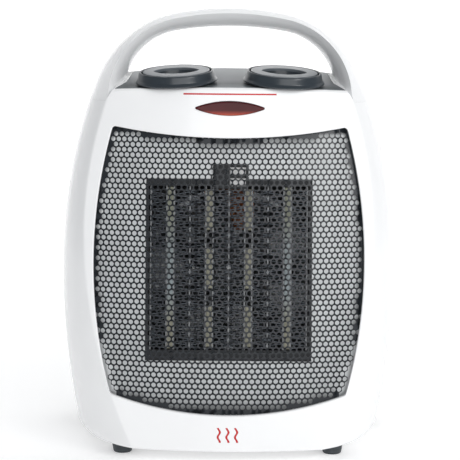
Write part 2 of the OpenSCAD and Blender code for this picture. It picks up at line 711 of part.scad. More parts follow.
// ---------- base ----------
module rubber_feet() color("#373e42") at_feet() {
    cylinder(r1 = foot_d / 2 - 0.8, r2 = foot_d / 2, h = base_z);
    cylinder(r = foot_stem_r, h = base_z + wall + 1.5);
    translate([0, 0, base_z + wall]) cylinder(r = foot_stem_r + 0.8, h = 1.5);
}
switch_z = base_z + wall + 0.1;
flange_r = plunger_r + 2;
plunger_h = switch_z + tip_travel + 2;
tip_bore = flange_r + 0.4;
spring_room = 8;
tip_top = plunger_h + spring_room;
module tip_switch() color("#2b2b2d") difference() {
    translate([-12, plunger_y - tip_bore - 2, switch_z])
        cube([24, 2 * tip_bore + 4, tip_top + 2 - switch_z]);
    translate([0, plunger_y, switch_z - 1]) cylinder(r = tip_bore, h = tip_top - switch_z + 1);
}
module tip_plunger() color("ivory") translate([0, plunger_y, 0]) {
    cylinder(r = plunger_r, h = plunger_h);
    translate([0, 0, plunger_h - 1.8]) cylinder(r = flange_r, h = 1.8);
    cylinder(r = plunger_r - 1.4, h = plunger_h + 3);
}
spring_turns = 4;
spring_wire = 0.45;
spring_r = plunger_r + 0.6;
module tip_spring() color("silver") {
    steps = 14 * spring_turns;
    z0 = plunger_h + spring_wire;
    z1 = tip_top - spring_wire;
    skin([for (i = [0:steps]) let (a = 360 * spring_turns * i / steps, z = z0 + (z1 - z0) * i / steps)
        [for (b = [0:60:300]) [(spring_r + spring_wire * cos(b)) * cos(a),
            plunger_y + (spring_r + spring_wire * cos(b)) * sin(a), z + spring_wire * sin(b)]]]);
}
module terminal_block() color("#d8d4c8") translate([6, 44, switch_z]) difference() {
    cube([38, 16, 14]);
    for (i = [0:2]) translate([8 + 11 * i, 8, 6]) cylinder(r = 3, h = 20);
}
bush_depth = 9;
bush_y = back_y - 9;
module cord_inlet_bush() color("#2c2f33") translate([bush_at[0], 0, bush_at[1]]) difference() {
    union() {
        rod(bush_r - run, bush_y - bush_depth, back_y - 0.6);
        rod(bush_r + 2, bush_y, bush_y + 2.8);
        rod(bush_r + 2, bush_y - bush_depth, bush_y - 4.5);
    }
    rod(cord_hole_d / 2, 0, far);
}
module housing_screws() color("silver") at_screws() {
    rod(screw_r - 0.35, -boss_front + 4, seat_y);
    rod(head_r, seat_y, seat_y + 2.4);
}

front_housing();
rear_housing();
control_panel();
front_grille();
baffle_panel();
indicator_lens();
indicator_lamp();
lamp_holder();
mode_knob();
mode_knob_ring();
mode_spindle();
mode_switch();
thermostat_knob();
thermostat_knob_ring();
thermostat_spindle();
thermostat();
control_screws();
element_frame();
ptc_stones();
electrode_plates();
element_fins();
element_separators();
thermal_cutout();
cutout_bracket();
duct_shroud();
fan_impeller();
motor_shaft();
motor_rotor();
motor_stator();
motor_coil();
front_bearing_bracket();
rear_bearing_bracket();
bearing_bushes();
motor_screws();
rear_intake_grille();
tip_switch();
tip_plunger();
tip_spring();
terminal_block();
cord_inlet_bush();
housing_screws();
rubber_feet();
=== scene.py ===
"""Desktop ceramic fan heater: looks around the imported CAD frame. Shapes are worked out in millimetres."""

import json
import math

import bmesh
import bpy
import numpy as np
from mathutils import Matrix, Vector


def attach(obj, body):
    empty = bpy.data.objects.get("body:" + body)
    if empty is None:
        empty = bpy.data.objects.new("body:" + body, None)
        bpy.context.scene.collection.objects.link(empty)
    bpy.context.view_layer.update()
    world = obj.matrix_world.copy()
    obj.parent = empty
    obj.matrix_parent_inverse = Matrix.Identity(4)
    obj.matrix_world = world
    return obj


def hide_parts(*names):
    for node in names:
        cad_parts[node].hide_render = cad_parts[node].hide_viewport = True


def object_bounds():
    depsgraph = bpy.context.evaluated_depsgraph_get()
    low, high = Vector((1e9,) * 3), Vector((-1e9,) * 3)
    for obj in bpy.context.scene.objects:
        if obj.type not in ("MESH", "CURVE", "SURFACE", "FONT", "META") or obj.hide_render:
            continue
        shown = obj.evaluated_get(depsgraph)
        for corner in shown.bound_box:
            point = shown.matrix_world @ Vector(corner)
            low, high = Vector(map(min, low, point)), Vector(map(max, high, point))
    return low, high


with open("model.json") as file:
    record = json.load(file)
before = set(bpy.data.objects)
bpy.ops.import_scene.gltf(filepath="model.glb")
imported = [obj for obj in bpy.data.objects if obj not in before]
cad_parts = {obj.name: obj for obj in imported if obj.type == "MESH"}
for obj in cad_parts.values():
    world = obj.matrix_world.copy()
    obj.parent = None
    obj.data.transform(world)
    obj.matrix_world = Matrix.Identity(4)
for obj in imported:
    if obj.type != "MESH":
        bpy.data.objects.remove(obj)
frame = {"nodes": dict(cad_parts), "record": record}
cad_low, cad_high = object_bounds()

MM = 0.001
ROOT = "housing"

# ---------------------------------------------------------------- driving values, in millimetres
HALF_W = round(cad_high.x / MM, 1)
BODY_H = round(cad_high.z / MM, 1)
FRONT_Y = round(cad_low.y / MM, 1)
BACK_Y = round(cad_high.y / MM, 1)
WIDEST_Z = 103
SIDE_R_UP = 310
SIDE_R_DOWN = 430
SHOULDER_R = 60.6
TOP_R = 161
CORNER_R = 8
WALL = 2.2
BASE_Z = 6.8
PARTING_Y = 4
PLAN_R = 235
PROFILE_R = 700
PROFILE_Z = 15
BAND_TOP = 12
BAND_BOTTOM = 33.5
WINDOW_MARGIN = 5.2
WINDOW_Z = 111.5
WINDOW_SIDE_R = 280
WINDOW_LOW = 27.5
WINDOW_LOW_R = 224
WINDOW_HIGH = 180
WINDOW_HIGH_R = 360
GRILLE_T = 0.8
LENS_W = 38.4
LENS_H = 7.8
LENS_Z = WINDOW_HIGH + 16.5
HANDLE_T = 10.9
HANDLE_D = 26
LEG_T = 19.5
LOOP_SHOULDER_R = 36.5
LOOP_TOP_R = 185
PANEL_TILT = math.radians(9.4)
PANEL_Z = 208
CROWN_R = 700
PANEL_L = 64
PANEL_HALF = 66
PANEL_T = 2.5
PANEL_RIM = 2.3
KNOB_PITCH = 61
KNOB_D = 46.6
KNOB_H = 6.8
KNOB_BACK = 18.5
KNOB_GAP = 0.6
RING_T = 1.4
CORE_LEAN = math.radians(7)
CORE_Y = FRONT_Y + 29
CORE_Z = 105
ELEMENT_H = 103
ELEMENT_T = 15
COLUMN_PITCH = 22.2
FOOT_PITCH = (120, 96)
FOOT_PLACES = [(x * FOOT_PITCH[0] / 2, y * FOOT_PITCH[1] / 2) for x in (-1, 1) for y in (-1, 1)]
FOOT_D = 12.4
SIDE_Y = -6
SIDE_FORWARD = 8
BACK_BEND_Z = 120
BACK_TOP_Z = BODY_H - 36
BACK_LEAN = 56  # how far the back has come forward at BACK_TOP_Z


# ---------------------------------------------------------------- curves of the outside
def sagitta(r, d):
    """Drop of an arc of radius r at a distance d from its middle."""
    return r - np.sqrt(np.maximum(r * r - d * d, 0))


def meet(c0, r0, c1, r1, near):
    """The crossing of two circles that is nearest to a point."""
    c0, c1 = np.array(c0, float), np.array(c1, float)
    v = c1 - c0
    d = np.linalg.norm(v)
    m = (r0 * r0 - r1 * r1 + d * d) / (2 * d)
    h = math.sqrt(max(r0 * r0 - m * m, 0))
    side = np.array([-v[1], v[0]]) / d
    options = [c0 + m * v / d + h * side, c0 + m * v / d - h * side]
    return min(options, key=lambda p: np.linalg.norm(p - np.array(near)))


SIDE_C = np.array([HALF_W - SIDE_R_UP, WIDEST_Z], float)
TOP_C = np.array([0, BODY_H - TOP_R], float)
SHOULDER_C = meet(SIDE_C, SIDE_R_UP - SHOULDER_R, TOP_C, TOP_R - SHOULDER_R, (HALF_W, BODY_H))
SHOULDER_JOIN = SIDE_C + (SHOULDER_C - SIDE_C) / np.linalg.norm(SHOULDER_C - SIDE_C) * SIDE_R_UP


def half_at(z):
    """Half width of the outline at a height."""
    low = HALF_W - sagitta(SIDE_R_DOWN, WIDEST_Z - z)
    mid = HALF_W - sagitta(SIDE_R_UP, z - WIDEST_Z)
    high = SHOULDER_C[0] + np.sqrt(np.maximum(SHOULDER_R**2 - (z - SHOULDER_C[1]) ** 2, 0))
    return np.where(z < WIDEST_Z, low, np.where(z < SHOULDER_JOIN[1], mid, high))


def corner_cut(z):
    """What the round bottom corner takes off the half width."""
    return sagitta(CORNER_R, np.clip(CORNER_R - (z - BASE_Z), 0, CORNER_R))


def spread_at(z):
    """How far the side bands have widened: 0 at the panel, 1 at the base."""
    return (np.maximum(0, PANEL_Z - z) / (PANEL_Z - BASE_Z)) ** 2.2


def crease_at(z):
    """Half width of the front face, inside the side bands."""
    return half_at(z) - (BAND_TOP + (BAND_BOTTOM - BAND_TOP) * spread_at(z))


def turn_at(z):
    """How far behind the crease the side band's curve is steered to, as a share of the band's width."""
    return 1.1 - 0.5 * spread_at(z)


def side_at(z):
    """Depth at which the side band has turned square to the front, further forward near the base."""
    return SIDE_Y - SIDE_FORWARD * spread_at(z)


def front_at(x, z, inset=0.0):
    """Front face: turned about an upright axis, leaning back with height."""
    r = PLAN_R - inset - sagitta(PROFILE_R, z - PROFILE_Z)
    return FRONT_Y + PLAN_R - np.sqrt(r * r - x * x)


def back_at(z):
    """Back face, which comes forward above its bend."""
    return BACK_Y - BACK_LEAN * (np.maximum(z - BACK_BEND_Z, 0) / (BACK_TOP_Z - BACK_BEND_Z)) ** 2


def bezier(a, b, c, t):
    """Point of the curve from a to c that is steered by b."""
    return (1 - t) ** 2 * a + 2 * t * (1 - t) * b + t * t * c


PANEL_Y = float(front_at(0, PANEL_Z)) + PANEL_RIM
KNOB_LEAN = math.asin(KNOB_PITCH / 2 / CROWN_R)


def crown_at(x, y, depth=0.0):
    """Height of the crowned, sloping top surface."""
    w = np.sqrt((CROWN_R - depth) ** 2 - x * x) - CROWN_R
    v = (y - PANEL_Y + w * math.sin(PANEL_TILT)) / math.cos(PANEL_TILT)
    return PANEL_Z + v * math.sin(PANEL_TILT) + w * math.cos(PANEL_TILT)


# ---------------------------------------------------------------- meshes
def link_object(name, data):
    """A new object in the scene."""
    obj = bpy.data.objects.new(name, data)
    bpy.context.scene.collection.objects.link(obj)
    return obj


def mesh_object(name, points, faces):
    """A mesh object in the row frame from points in millimetres, with doubled points joined."""
    mesh = bpy.data.meshes.new(name)
    mesh.from_pydata([tuple(float(v) * MM for v in p) for p in points], [], faces)
    bm = bmesh.new()
    bm.from_mesh(mesh)
    bmesh.ops.remove_doubles(bm, verts=bm.verts, dist=2e-6)
    bmesh.ops.recalc_face_normals(bm, faces=bm.faces)
    bm.to_mesh(mesh)
    bm.free()
    return link_object(name, mesh)


def skin_faces(n, m):
    """Four-sided faces between m loops of n points each."""
    return [(j * n + i, j * n + (i + 1) % n, (j + 1) * n + (i + 1) % n, (j + 1) * n + i)
            for j in range(m - 1) for i in range(n)]


def loft(name, loops):
    """Closed skin over a stack of loops with equally many points."""
    n, m = len(loops[0]), len(loops)
    caps = [tuple(range(n - 1, -1, -1)), tuple((m - 1) * n + i for i in range(n))]
    return mesh_object(name, [p for loop in loops for p in loop], skin_faces(n, m) + caps)


def boolean(target, cutter, operation="DIFFERENCE"):
    """Applies an exact boolean to target, and deletes the cutter."""
    m = target.modifiers.new("cut", "BOOLEAN")
    m.operation = operation
    m.solver = "EXACT"
    m.object = cutter
    bpy.context.view_layer.update()
    graph = bpy.context.evaluated_depsgraph_get()
    made = bpy.data.meshes.new_from_object(target.evaluated_get(graph))
    target.modifiers.clear()
    target.data = made
    bpy.data.objects.remove(cutter)


def box_object(name, x0, x1, y0, y1, z0, z1):
    points = [(x, y, z) for z in (z0, z1) for x, y in ((x0, y0), (x1, y0), (x1, y1), (x0, y1))]
    return mesh_object(name, points, [(3, 2, 1, 0), (4, 5, 6, 7)] + skin_faces(4, 2))


def lathe(name, profile, steps, place):
    """Closed body turned about local Z from a profile of (radius, height) between points on the axis."""
    turns = [2 * math.pi * k / steps for k in range(steps)]
    rows = [(max(r, 1e-4), h) for r, h in profile]
    loops = [[place @ Vector((r * math.cos(a), r * math.sin(a), h)) for a in turns] for r, h in rows]
    return loft(name, loops)


def rod_y(name, r, y0, y1, x, z, steps):
    """Cylinder along Y."""
    turns = [2 * math.pi * k / steps for k in range(steps)]
    loops = [[Vector((x + r * math.cos(a), y, z + r * math.sin(a))) for a in turns] for y in (y0, y1)]
    return loft(name, loops)


def rod_z(name, r, z0, z1, x, y, steps):
    """Cylinder along Z."""
    turns = [2 * math.pi * k / steps for k in range(steps)]
    return loft(name, [[(x + r * math.cos(a), y + r * math.sin(a), z) for a in turns] for z in (z0, z1)])


def join(parts, name):
    """One object from several, with smooth shading and real edges kept sharp."""
    bm = bmesh.new()
    for part in parts:
        bm.from_mesh(part.data)
        bpy.data.objects.remove(part)
    mesh = bpy.data.meshes.new(name)
    bm.to_mesh(mesh)
    bm.free()
    smooth(mesh, 35)
    return link_object(name, mesh)


def smooth(mesh, angle):
    for face in mesh.polygons:
        face.use_smooth = True
    mesh.set_sharp_from_angle(angle=math.radians(angle))


def finish_mesh(obj, angle, weighted=True):
    """Smooth shading with real edges kept sharp."""
    bm = bmesh.new()
    bm.from_mesh(obj.data)
    bmesh.ops.remove_doubles(bm, verts=bm.verts, dist=2e-6)
    bmesh.ops.dissolve_degenerate(bm, edges=bm.edges, dist=1e-6)
    bmesh.ops.recalc_face_normals(bm, faces=bm.faces)
    bm.to_mesh(obj.data)
    bm.free()
    smooth(obj.data, angle)
    if weighted:
        m = obj.modifiers.new("weighted", "WEIGHTED_NORMAL")
        m.keep_sharp = True
        m.weight = 60


def place_piece(obj, body, slot, *nodes, mat=None):
    """Gives a piece its body and a material (the slot's, unless mat is given), and hides the CAD nodes it
    stands in for.
    """
    obj.data.materials.clear()
    obj.data.materials.append(mat or MATERIALS[slot])
    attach(obj, body)
    if nodes:
        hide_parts(*nodes)


# ---------------------------------------------------------------- outlines drawn in X and Z
def arc_points(centre, r, a0, a1, n):
    """Points and outward normals of an arc."""
    out = []
    for k in range(n + 1):
        a = a0 + (a1 - a0) * k / n
        d = np.array([math.cos(a), math.sin(a)])
        out.append((np.array(centre) + r * d, d))
    return out


def angle_of(centre, p):
    return math.atan2(p[1] - centre[1], p[0] - centre[0])


def rounded(arcs, grow, corner_steps=5):
    """Outline of arcs, each a list of (point, normal), moved out by grow with round corners."""
    points = []
    skip_first = False
    for k, arc in enumerate(arcs):
        last, first = arc[-1], arcs[(k + 1) % len(arcs)][0]
        a0 = math.atan2(last[1][1], last[1][0])
        a1 = math.atan2(first[1][1], first[1][0])
        turn = (a1 - a0 + math.pi) % (2 * math.pi) - math.pi
        for p, n in arc[1 if skip_first else 0:-1]:
            points.append(p + grow * n)
        skip_first = turn < 0
        if skip_first:  # a hollow corner takes one mitred point
            points.append(last[0] + grow * (last[1] + first[1]) / (1 + last[1] @ first[1]))
            continue
        points.append(last[0] + grow * last[1])
        for s in range(1, corner_steps):
            a = a0 + turn * s / corner_steps
            points.append(last[0] + grow * np.array([math.cos(a), math.sin(a)]))
    return points


WINDOW_HALF = float(crease_at(np.array(WIDEST_Z + 8.0))) - WINDOW_MARGIN
WINDOW_SOFT = 2.0  # radius of the opening's corners


def window_outline(grow):
    """The grille opening, anticlockwise seen from the front."""
    r_s, r_l, r_h = WINDOW_SIDE_R - WINDOW_SOFT, WINDOW_LOW_R - WINDOW_SOFT, WINDOW_HIGH_R + WINDOW_SOFT
    c_right = (WINDOW_HALF - WINDOW_SIDE_R, WINDOW_Z)
    c_left = (WINDOW_SIDE_R - WINDOW_HALF, WINDOW_Z)
    c_low = (0, WINDOW_LOW + WINDOW_LOW_R)
    c_high = (0, WINDOW_HIGH + WINDOW_HIGH_R)
    low_right = meet(c_right, r_s, c_low, r_l, (64, 37))
    high_right = meet(c_right, r_s, c_high, r_h, (66, 186))
    low_left, high_left = low_right * (-1, 1), high_right * (-1, 1)
    right = arc_points(c_right, r_s, angle_of(c_right, low_right), angle_of(c_right, high_right), 48)
    a0, a1 = angle_of(c_high, high_right), angle_of(c_high, high_left)
    high = [(p, -n) for p, n in arc_points(c_high, r_h, a0, a1, 44)]
    a0 = angle_of(c_left, high_left) % (2 * math.pi)
    a1 = angle_of(c_left, low_left) % (2 * math.pi)
    left = arc_points(c_left, r_s, a0, a1, 48)
    low = arc_points(c_low, r_l, angle_of(c_low, low_left), angle_of(c_low, low_right), 44)
    return rounded([right, high, left, low], WINDOW_SOFT + grow)


def pointed_oval(length, height, middle, steps, soft, grow):
    """Two arcs that meet in points of radius soft, moved out by grow."""
    l, h = length - 2 * soft, height - 2 * soft
    r = (l * l / 4 + h * h / 4) / h
    a = math.asin(l / 2 / r)
    up = arc_points((0, middle - r + h / 2), r, math.pi / 2 - a, math.pi / 2 + a, steps)
    down = arc_points((0, middle + r - h / 2), r, 1.5 * math.pi - a, 1.5 * math.pi + a, steps)
    return rounded([up, down], soft + grow, 4)


def lens_outline(grow, soft=0.5):
    return pointed_oval(LENS_W, LENS_H, LENS_Z, 36, soft, grow)


def inside(outline, x, z):
    """Whether each point lies inside an outline, by its winding."""
    hit = np.zeros(len(x), bool)
    x0, z0 = np.array(outline).T
    x1, z1 = np.roll(x0, -1), np.roll(z0, -1)
    for k in range(len(outline)):
        spans = (z0[k] > z) != (z1[k] > z)
        if spans.any():
            cut = (x1[k] - x0[k]) * (z - z0[k]) / (z1[k] - z0[k] + 1e-12) + x0[k]
            hit ^= spans & (x < cut)
    return hit


def front_cutter(name, outline, lip, y_in):
    """Cutter through the front wall whose mouth flares by a round lip that follows the front face."""
    steps = [(lip * (1 - math.cos(a)), lip * (1 - math.sin(a))) for a in np.radians([72, 54, 36, 18, 0])]
    loops = [[(p[0], FRONT_Y - 5, p[1]) for p in outline(lip * 0.95)],
             [(p[0], float(front_at(p[0], p[1], -0.25)), p[1]) for p in outline(lip * 0.95)]]
    for grow, depth in steps:
        loops.append([(p[0], float(front_at(p[0], p[1], depth)), p[1]) for p in outline(grow)])
    loops.append([(p[0], y_in, p[1]) for p in outline(0)])
    return loft(name, loops)


# ---------------------------------------------------------------- body shells
FRONT_STEPS = 30
WING_STEPS = 12
REAR_STEPS = 30
BACK_POWER = 4.5
CREASE_SOFT = 0.9  # softening of the crease, in millimetres along each side
LEAD = FRONT_STEPS + 4 + WING_STEPS + REAR_STEPS + 1


def half_ring(z, t, shift=0.0):
    """Right half of the body's outline, front to back, at heights given for each point."""
    z = np.broadcast_to(np.asarray(z, float), (LEAD,))
    w = half_at(z) - corner_cut(z - shift) - t
    c = crease_at(z) - 0.55 * t
    y = front_at(c, z, t)
    x_out, y_out = np.empty(LEAD), np.empty(LEAD)
    # a little before the crease, a little after it and a curve between the two
    x_before = c - CREASE_SOFT
    y_before = front_at(x_before, z, t)
    share = CREASE_SOFT / np.maximum(2.2 * (w - c), 1e-6)
    x_after = bezier(c, w, w, share)
    y_turn = y + turn_at(z) * (w - c)
    side = side_at(z)
    y_after = bezier(y, y_turn, side, share)
    for i in range(FRONT_STEPS + 1):
        x_out[i] = x_before[i] * i / FRONT_STEPS
        y_out[i] = front_at(x_out[i], z[i], t)
    for k in range(1, 5):
        i = FRONT_STEPS + k
        x_out[i] = bezier(x_before[i], c[i], x_after[i], k / 4)
        y_out[i] = bezier(y_before[i], y[i], y_after[i], k / 4)
    for k in range(1, WING_STEPS + 1):
        i = FRONT_STEPS + 4 + k
        s = share[i] + (1 - share[i]) * k / WING_STEPS
        x_out[i] = bezier(c[i], w[i], w[i], s)
        y_out[i] = bezier(y[i], y_turn[i], side[i], s)
    y_back = back_at(z) - t
    for k in range(1, REAR_STEPS + 1):
        i = FRONT_STEPS + 4 + WING_STEPS + k
        a = math.pi / 2 * (k / REAR_STEPS) ** 1.25
        x_out[i] = w[i] * max(math.cos(a), 0) ** (2 / BACK_POWER) if k < REAR_STEPS else 0
        y_out[i] = side[i] + (y_back[i] - side[i]) * math.sin(a) ** (2 / BACK_POWER)
    return x_out, y_out


def ring_at(z, t, shift=0.0):
    x, y = half_ring(z, t, shift)
    z = np.broadcast_to(np.asarray(z, float), (LEAD,))
    right = [(x[i], y[i], z[i]) for i in range(LEAD)]
    left = [(-x[i], y[i], z[i]) for i in range(LEAD - 2, 0, -1)]
    return right + left


TILT_FROM = 150  # height from which the rings begin to tilt towards the sloping top
TILT_SPAN = 60


def tilted_heights(share, t, depth, below=0.0):
    """Heights of a ring between the level rings and the crown."""
    z = np.full(LEAD, TILT_FROM + share * TILT_SPAN)
    for _ in range(6):
        x, y = half_ring(z, t)
        z = TILT_FROM + share * (crown_at(x, y, depth) - TILT_FROM) - below
    return z


def body_form(name, t, depth, soft):
    """Closed body, drawn t inside the outer skin and under the crown, with softened ends when soft is set."""
    low = BASE_Z + t
    loops = []
    if soft:
        for a in np.radians([0, 22, 45, 67, 90]):
            loops.insert(0, ring_at(low + soft * (1 - math.sin(a)), t + soft * (1 - math.cos(a)), t))
    else:
        loops.append(ring_at(low, t, t))
    for a in np.radians([20, 32, 44, 56, 68, 80, 90]):
        z = low + CORNER_R * (1 - math.cos(a))
        if z > low + soft + 0.3:
            loops.append(ring_at(z, t, t))
    z_from = low + CORNER_R
    n_flat = 44
    for k in range(1, n_flat + 1):
        loops.append(ring_at(z_from + (TILT_FROM - z_from) * k / n_flat, t, t))
    n_tilt = 24
    for k in range(1, n_tilt):
        loops.append(ring_at(tilted_heights(k / n_tilt * (1 - soft / TILT_SPAN), t, depth), t))
    if soft:
        for a in np.radians([0, 22, 45, 67, 90]):
            inner = t + soft * (1 - math.cos(a))
            loops.append(ring_at(tilted_heights(1, inner, depth, soft * (1 - math.sin(a))), inner))
    else:
        loops.append(ring_at(tilted_heights(1, t, depth), t))
    n = len(loops[0])
    points = [p for loop in loops for p in loop]
    faces = [tuple(range(n - 1, -1, -1))] + skin_faces(n, len(loops))
    # crowned top: strips across from each right point to its mirror
    last = loops[-1]
    cells = 16
    base = (len(loops) - 1) * n
    rows = []
    for i in range(LEAD):
        right = base + i
        left = base + (n - i) % n
        if i in (0, LEAD - 1):
            rows.append([right] * (cells + 1))
            continue
        row = [right]
        for c in range(1, cells):
            x = last[i][0] * (1 - 2 * c / cells)
            y = last[i][1]
            points.append((x, y, float(crown_at(x, y, depth))))
            row.append(len(points) - 1)
        row.append(left)
        rows.append(row)
    for i in range(LEAD - 1):
        for c in range(cells):
            quad = [rows[i][c], rows[i + 1][c], rows[i + 1][c + 1], rows[i][c + 1]]
            face = [q for k, q in enumerate(quad) if q not in quad[:k]]
            if len(face) > 2:
                faces.append(tuple(face))
    return mesh_object(name, points, faces)


# ---------------------------------------------------------------- handle
LOOP_HALF = float(half_at(np.array(PANEL_Z - 8.0))) - LEG_T
LOOP_TOP_C = np.array([0, BODY_H - HANDLE_T - LOOP_TOP_R], float)
LOOP_C = np.array([LOOP_HALF - LOOP_SHOULDER_R, LOOP_TOP_C[1] + math.sqrt(
    (LOOP_TOP_R - LOOP_SHOULDER_R) ** 2 - (LOOP_HALF - LOOP_SHOULDER_R) ** 2)])
LEG_Z = PANEL_Z - 20
LEG_SKIN = 0.06  # how far the legs stand inside the body's sides above the shoulder
LEG_SUNK = 0.4  # and below it
SHOULDER_Z = PANEL_Z - 8


def rails():
    """Outer and inner rail of the handle's right half, from the foot of the leg to the top."""
    def run(*arc):
        return [p for p, n in arc_points(*arc)][1:]

    start = math.asin((LEG_Z - WIDEST_Z) / SIDE_R_UP)
    low, high = angle_of(SIDE_C, SHOULDER_JOIN), angle_of(TOP_C, SHOULDER_C)
    turn = angle_of(LOOP_TOP_C, LOOP_C)
    outer = [SIDE_C + SIDE_R_UP * np.array([math.cos(start), math.sin(start)])]
    outer += run(SIDE_C, SIDE_R_UP, start, low, 8) + run(SHOULDER_C, SHOULDER_R, low, high, 26)
    outer += run(TOP_C, TOP_R, high, math.pi / 2, 12)
    inner = [np.array([LOOP_HALF, LEG_Z + (LOOP_C[1] - LEG_Z) * i / 8]) for i in range(9)]
    inner += run(LOOP_C, LOOP_SHOULDER_R, 0, turn, 26) + run(LOOP_TOP_C, LOOP_TOP_R, turn, math.pi / 2, 12)
    return outer, inner


def handle_loops():
    """Sections across the right half: f runs from 1, where the leg leaves the body, to 0 at the top."""
    outer, inner = rails()
    y_leg = float(front_at(crease_at(np.array(PANEL_Z - 8.0)), PANEL_Z - 8.0))
    loops = []
    for o, i in zip(outer, inner):
        m, h = (o + i) / 2, (o - i) / 2
        f = min(1, max(0, (BODY_H - m[1]) / (BODY_H - PANEL_Z + 8)))
        t = LEG_SUNK if o[1] < SHOULDER_Z - 0.5 else LEG_SKIN * f
        s = (np.linalg.norm(h) - t) / np.linalg.norm(h)
        sharp, ridge = 0.45 * f, 0.35 - 0.58 * f
        outer_turn, inner_turn = 0.05 + 0.7 * f, 0.5 - 0.38 * f
        yf = PARTING_Y - HANDLE_D / 2 + (y_leg - PARTING_Y + HANDLE_D / 2) * f**1.5 + 1.4 * t
        yb = PARTING_Y + HANDLE_D / 2 + 12 * f**1.5 - 1.4 * t
        y_side = PARTING_Y + (SIDE_Y - PARTING_Y) * f**3
        y_turn = yf + outer_turn * (PARTING_Y - yf) * (1 - f**3) + 1.1 * BAND_TOP * f**3
        section = [(1, PARTING_Y), (1, (PARTING_Y + y_side) / 2 - 0.01)]
        for p0, p1, p2, n in (
            ((1, y_side - 0.02), (1, y_turn), (ridge, yf), 12),
            ((ridge, yf), (-1, yf + inner_turn * (PARTING_Y - yf)), (-1, PARTING_Y), 10),
            ((-1, PARTING_Y), (-1, yb + sharp * (PARTING_Y - yb)), (0, yb), 8),
            ((0, yb), (1, yb + sharp * (PARTING_Y - yb)), (1, PARTING_Y), 8),
        ):
            for k in range(n):
                section.append((bezier(p0[0], p1[0], p2[0], k / n), bezier(p0[1], p1[1], p2[1], k / n)))
        loops.append([(m[0] + h[0] * s * u, y, m[1] + h[1] * s * u) for u, y in section])
    return loops


def handle_form(name):
    """The whole handle, lofted from one foot over the top to the other."""
    right = handle_loops()
    left = [[(-x, y, z) for x, y, z in loop] for loop in right[:-1]]
    return loft(name, left + right[::-1])


# ---------------------------------------------------------------- panel frame
AT_PANEL = Matrix.Translation((0, PANEL_Y, PANEL_Z)) @ Matrix.Rotation(PANEL_TILT, 4, "X")
AT_CORE = Matrix.Translation((0, CORE_Y, CORE_Z)) @ Matrix.Rotation(-CORE_LEAN, 4, "X")


def at_knob(side):
    """Frame of a knob: origin on the panel, Z along its spindle."""
    drop = float(sagitta(CROWN_R, KNOB_PITCH / 2))
    return (AT_PANEL @ Matrix.Translation((side * KNOB_PITCH / 2, KNOB_BACK, -drop))
            @ Matrix.Rotation(side * KNOB_LEAN, 4, "Y"))


def panel_outline(grow):
    """Outline of the control panel in the panel's own plane, with rounded corners."""
    soft = 1.5 - min(grow, 0)
    r = PLAN_R - float(sagitta(PROFILE_R, PANEL_Z - PROFILE_Z)) - PANEL_RIM
    w, v, back = PANEL_HALF, PANEL_HALF - 8, PANEL_L
    a = math.asin((w - soft) / r)
    front = arc_points((0, r), r - soft, 1.5 * math.pi - a, 1.5 * math.pi + a, 40)
    stops = [(v + 2 - soft, 30), (v - soft, back - soft), (soft - v, back - soft), (soft - v - 2, 30)]
    segments = [front]
    corners = [front[-1][0], *(np.array(p, float) for p in stops), front[0][0]]
    for p, q in zip(corners[:-1], corners[1:]):
        d = (q - p) / np.linalg.norm(q - p)
        n = np.array([d[1], -d[0]])
        count = max(2, int(np.linalg.norm(q - p) / 6))
        segments.append([(p + (q - p) * k / count, n) for k in range(count + 1)])
    return rounded(segments, soft + grow, 4)


def on_crown(p, height):
    """A point of the panel's plane brought down to the crown and up by a height."""
    return AT_PANEL @ Vector((p[0], p[1], float(np.sqrt(CROWN_R**2 - p[0] * p[0]) - CROWN_R) + height))


def panel_cutter(name, grow, top, bottom, flare=0.0):
    """Prism of the panel's outline whose floor follows the crown."""
    rows = [(top, flare), (0.05, flare), (-flare, 0), (bottom, 0)] if flare else [(top, 0), (bottom, 0)]
    return loft(name, [[on_crown(p, height) for p in panel_outline(grow + more)] for height, more in rows])


def crown_plate(name, thick, edge):
    """Plate under the crown with rounded upper edges."""
    rows = [(-thick, 0.0), (-edge, 0.0)]
    rows += [(-edge + edge * math.sin(a), -edge * (1 - math.cos(a))) for a in np.radians([22, 45, 67, 90])]
    return loft(name, [[on_crown(p, height) for p in panel_outline(inset)] for height, inset in rows])


# ---------------------------------------------------------------- materials
def nodes_of(mat):
    mat.use_nodes = True
    tree = mat.node_tree
    shader = next(n for n in tree.nodes if n.type == "BSDF_PRINCIPLED")
    return tree, shader


def add(tree, kind, **values):
    node = tree.nodes.new(kind)
    for key, value in values.items():
        if key in node.inputs:
            node.inputs[key].default_value = value
        else:
            setattr(node, key, value)
    return node


def feed(tree, value, socket):
    """Links an output to a socket, or sets the socket to a plain value."""
    if isinstance(value, bpy.types.NodeSocket):
        tree.links.new(value, socket)
    else:
        socket.default_value = value


def axes_of(tree):
    """The three coordinates, in the object's own frame."""
    split = add(tree, "ShaderNodeSeparateXYZ")
    feed(tree, add(tree, "ShaderNodeTexCoord").outputs["Object"], split.inputs["Vector"])
    return split.outputs


def tint(mat, factor, colour, **kind):
    """Mixes a colour over what the material has."""
    tree, shader = nodes_of(mat)
    mix = add(tree, "ShaderNodeMix", data_type="RGBA", **kind)
    for value, k in ((factor, 0), (shader.inputs["Base Color"].links[0].from_socket, 6), (colour, 7)):
        feed(tree, value, mix.inputs[k])
    feed(tree, mix.outputs[2], shader.inputs["Base Color"])
    return mat


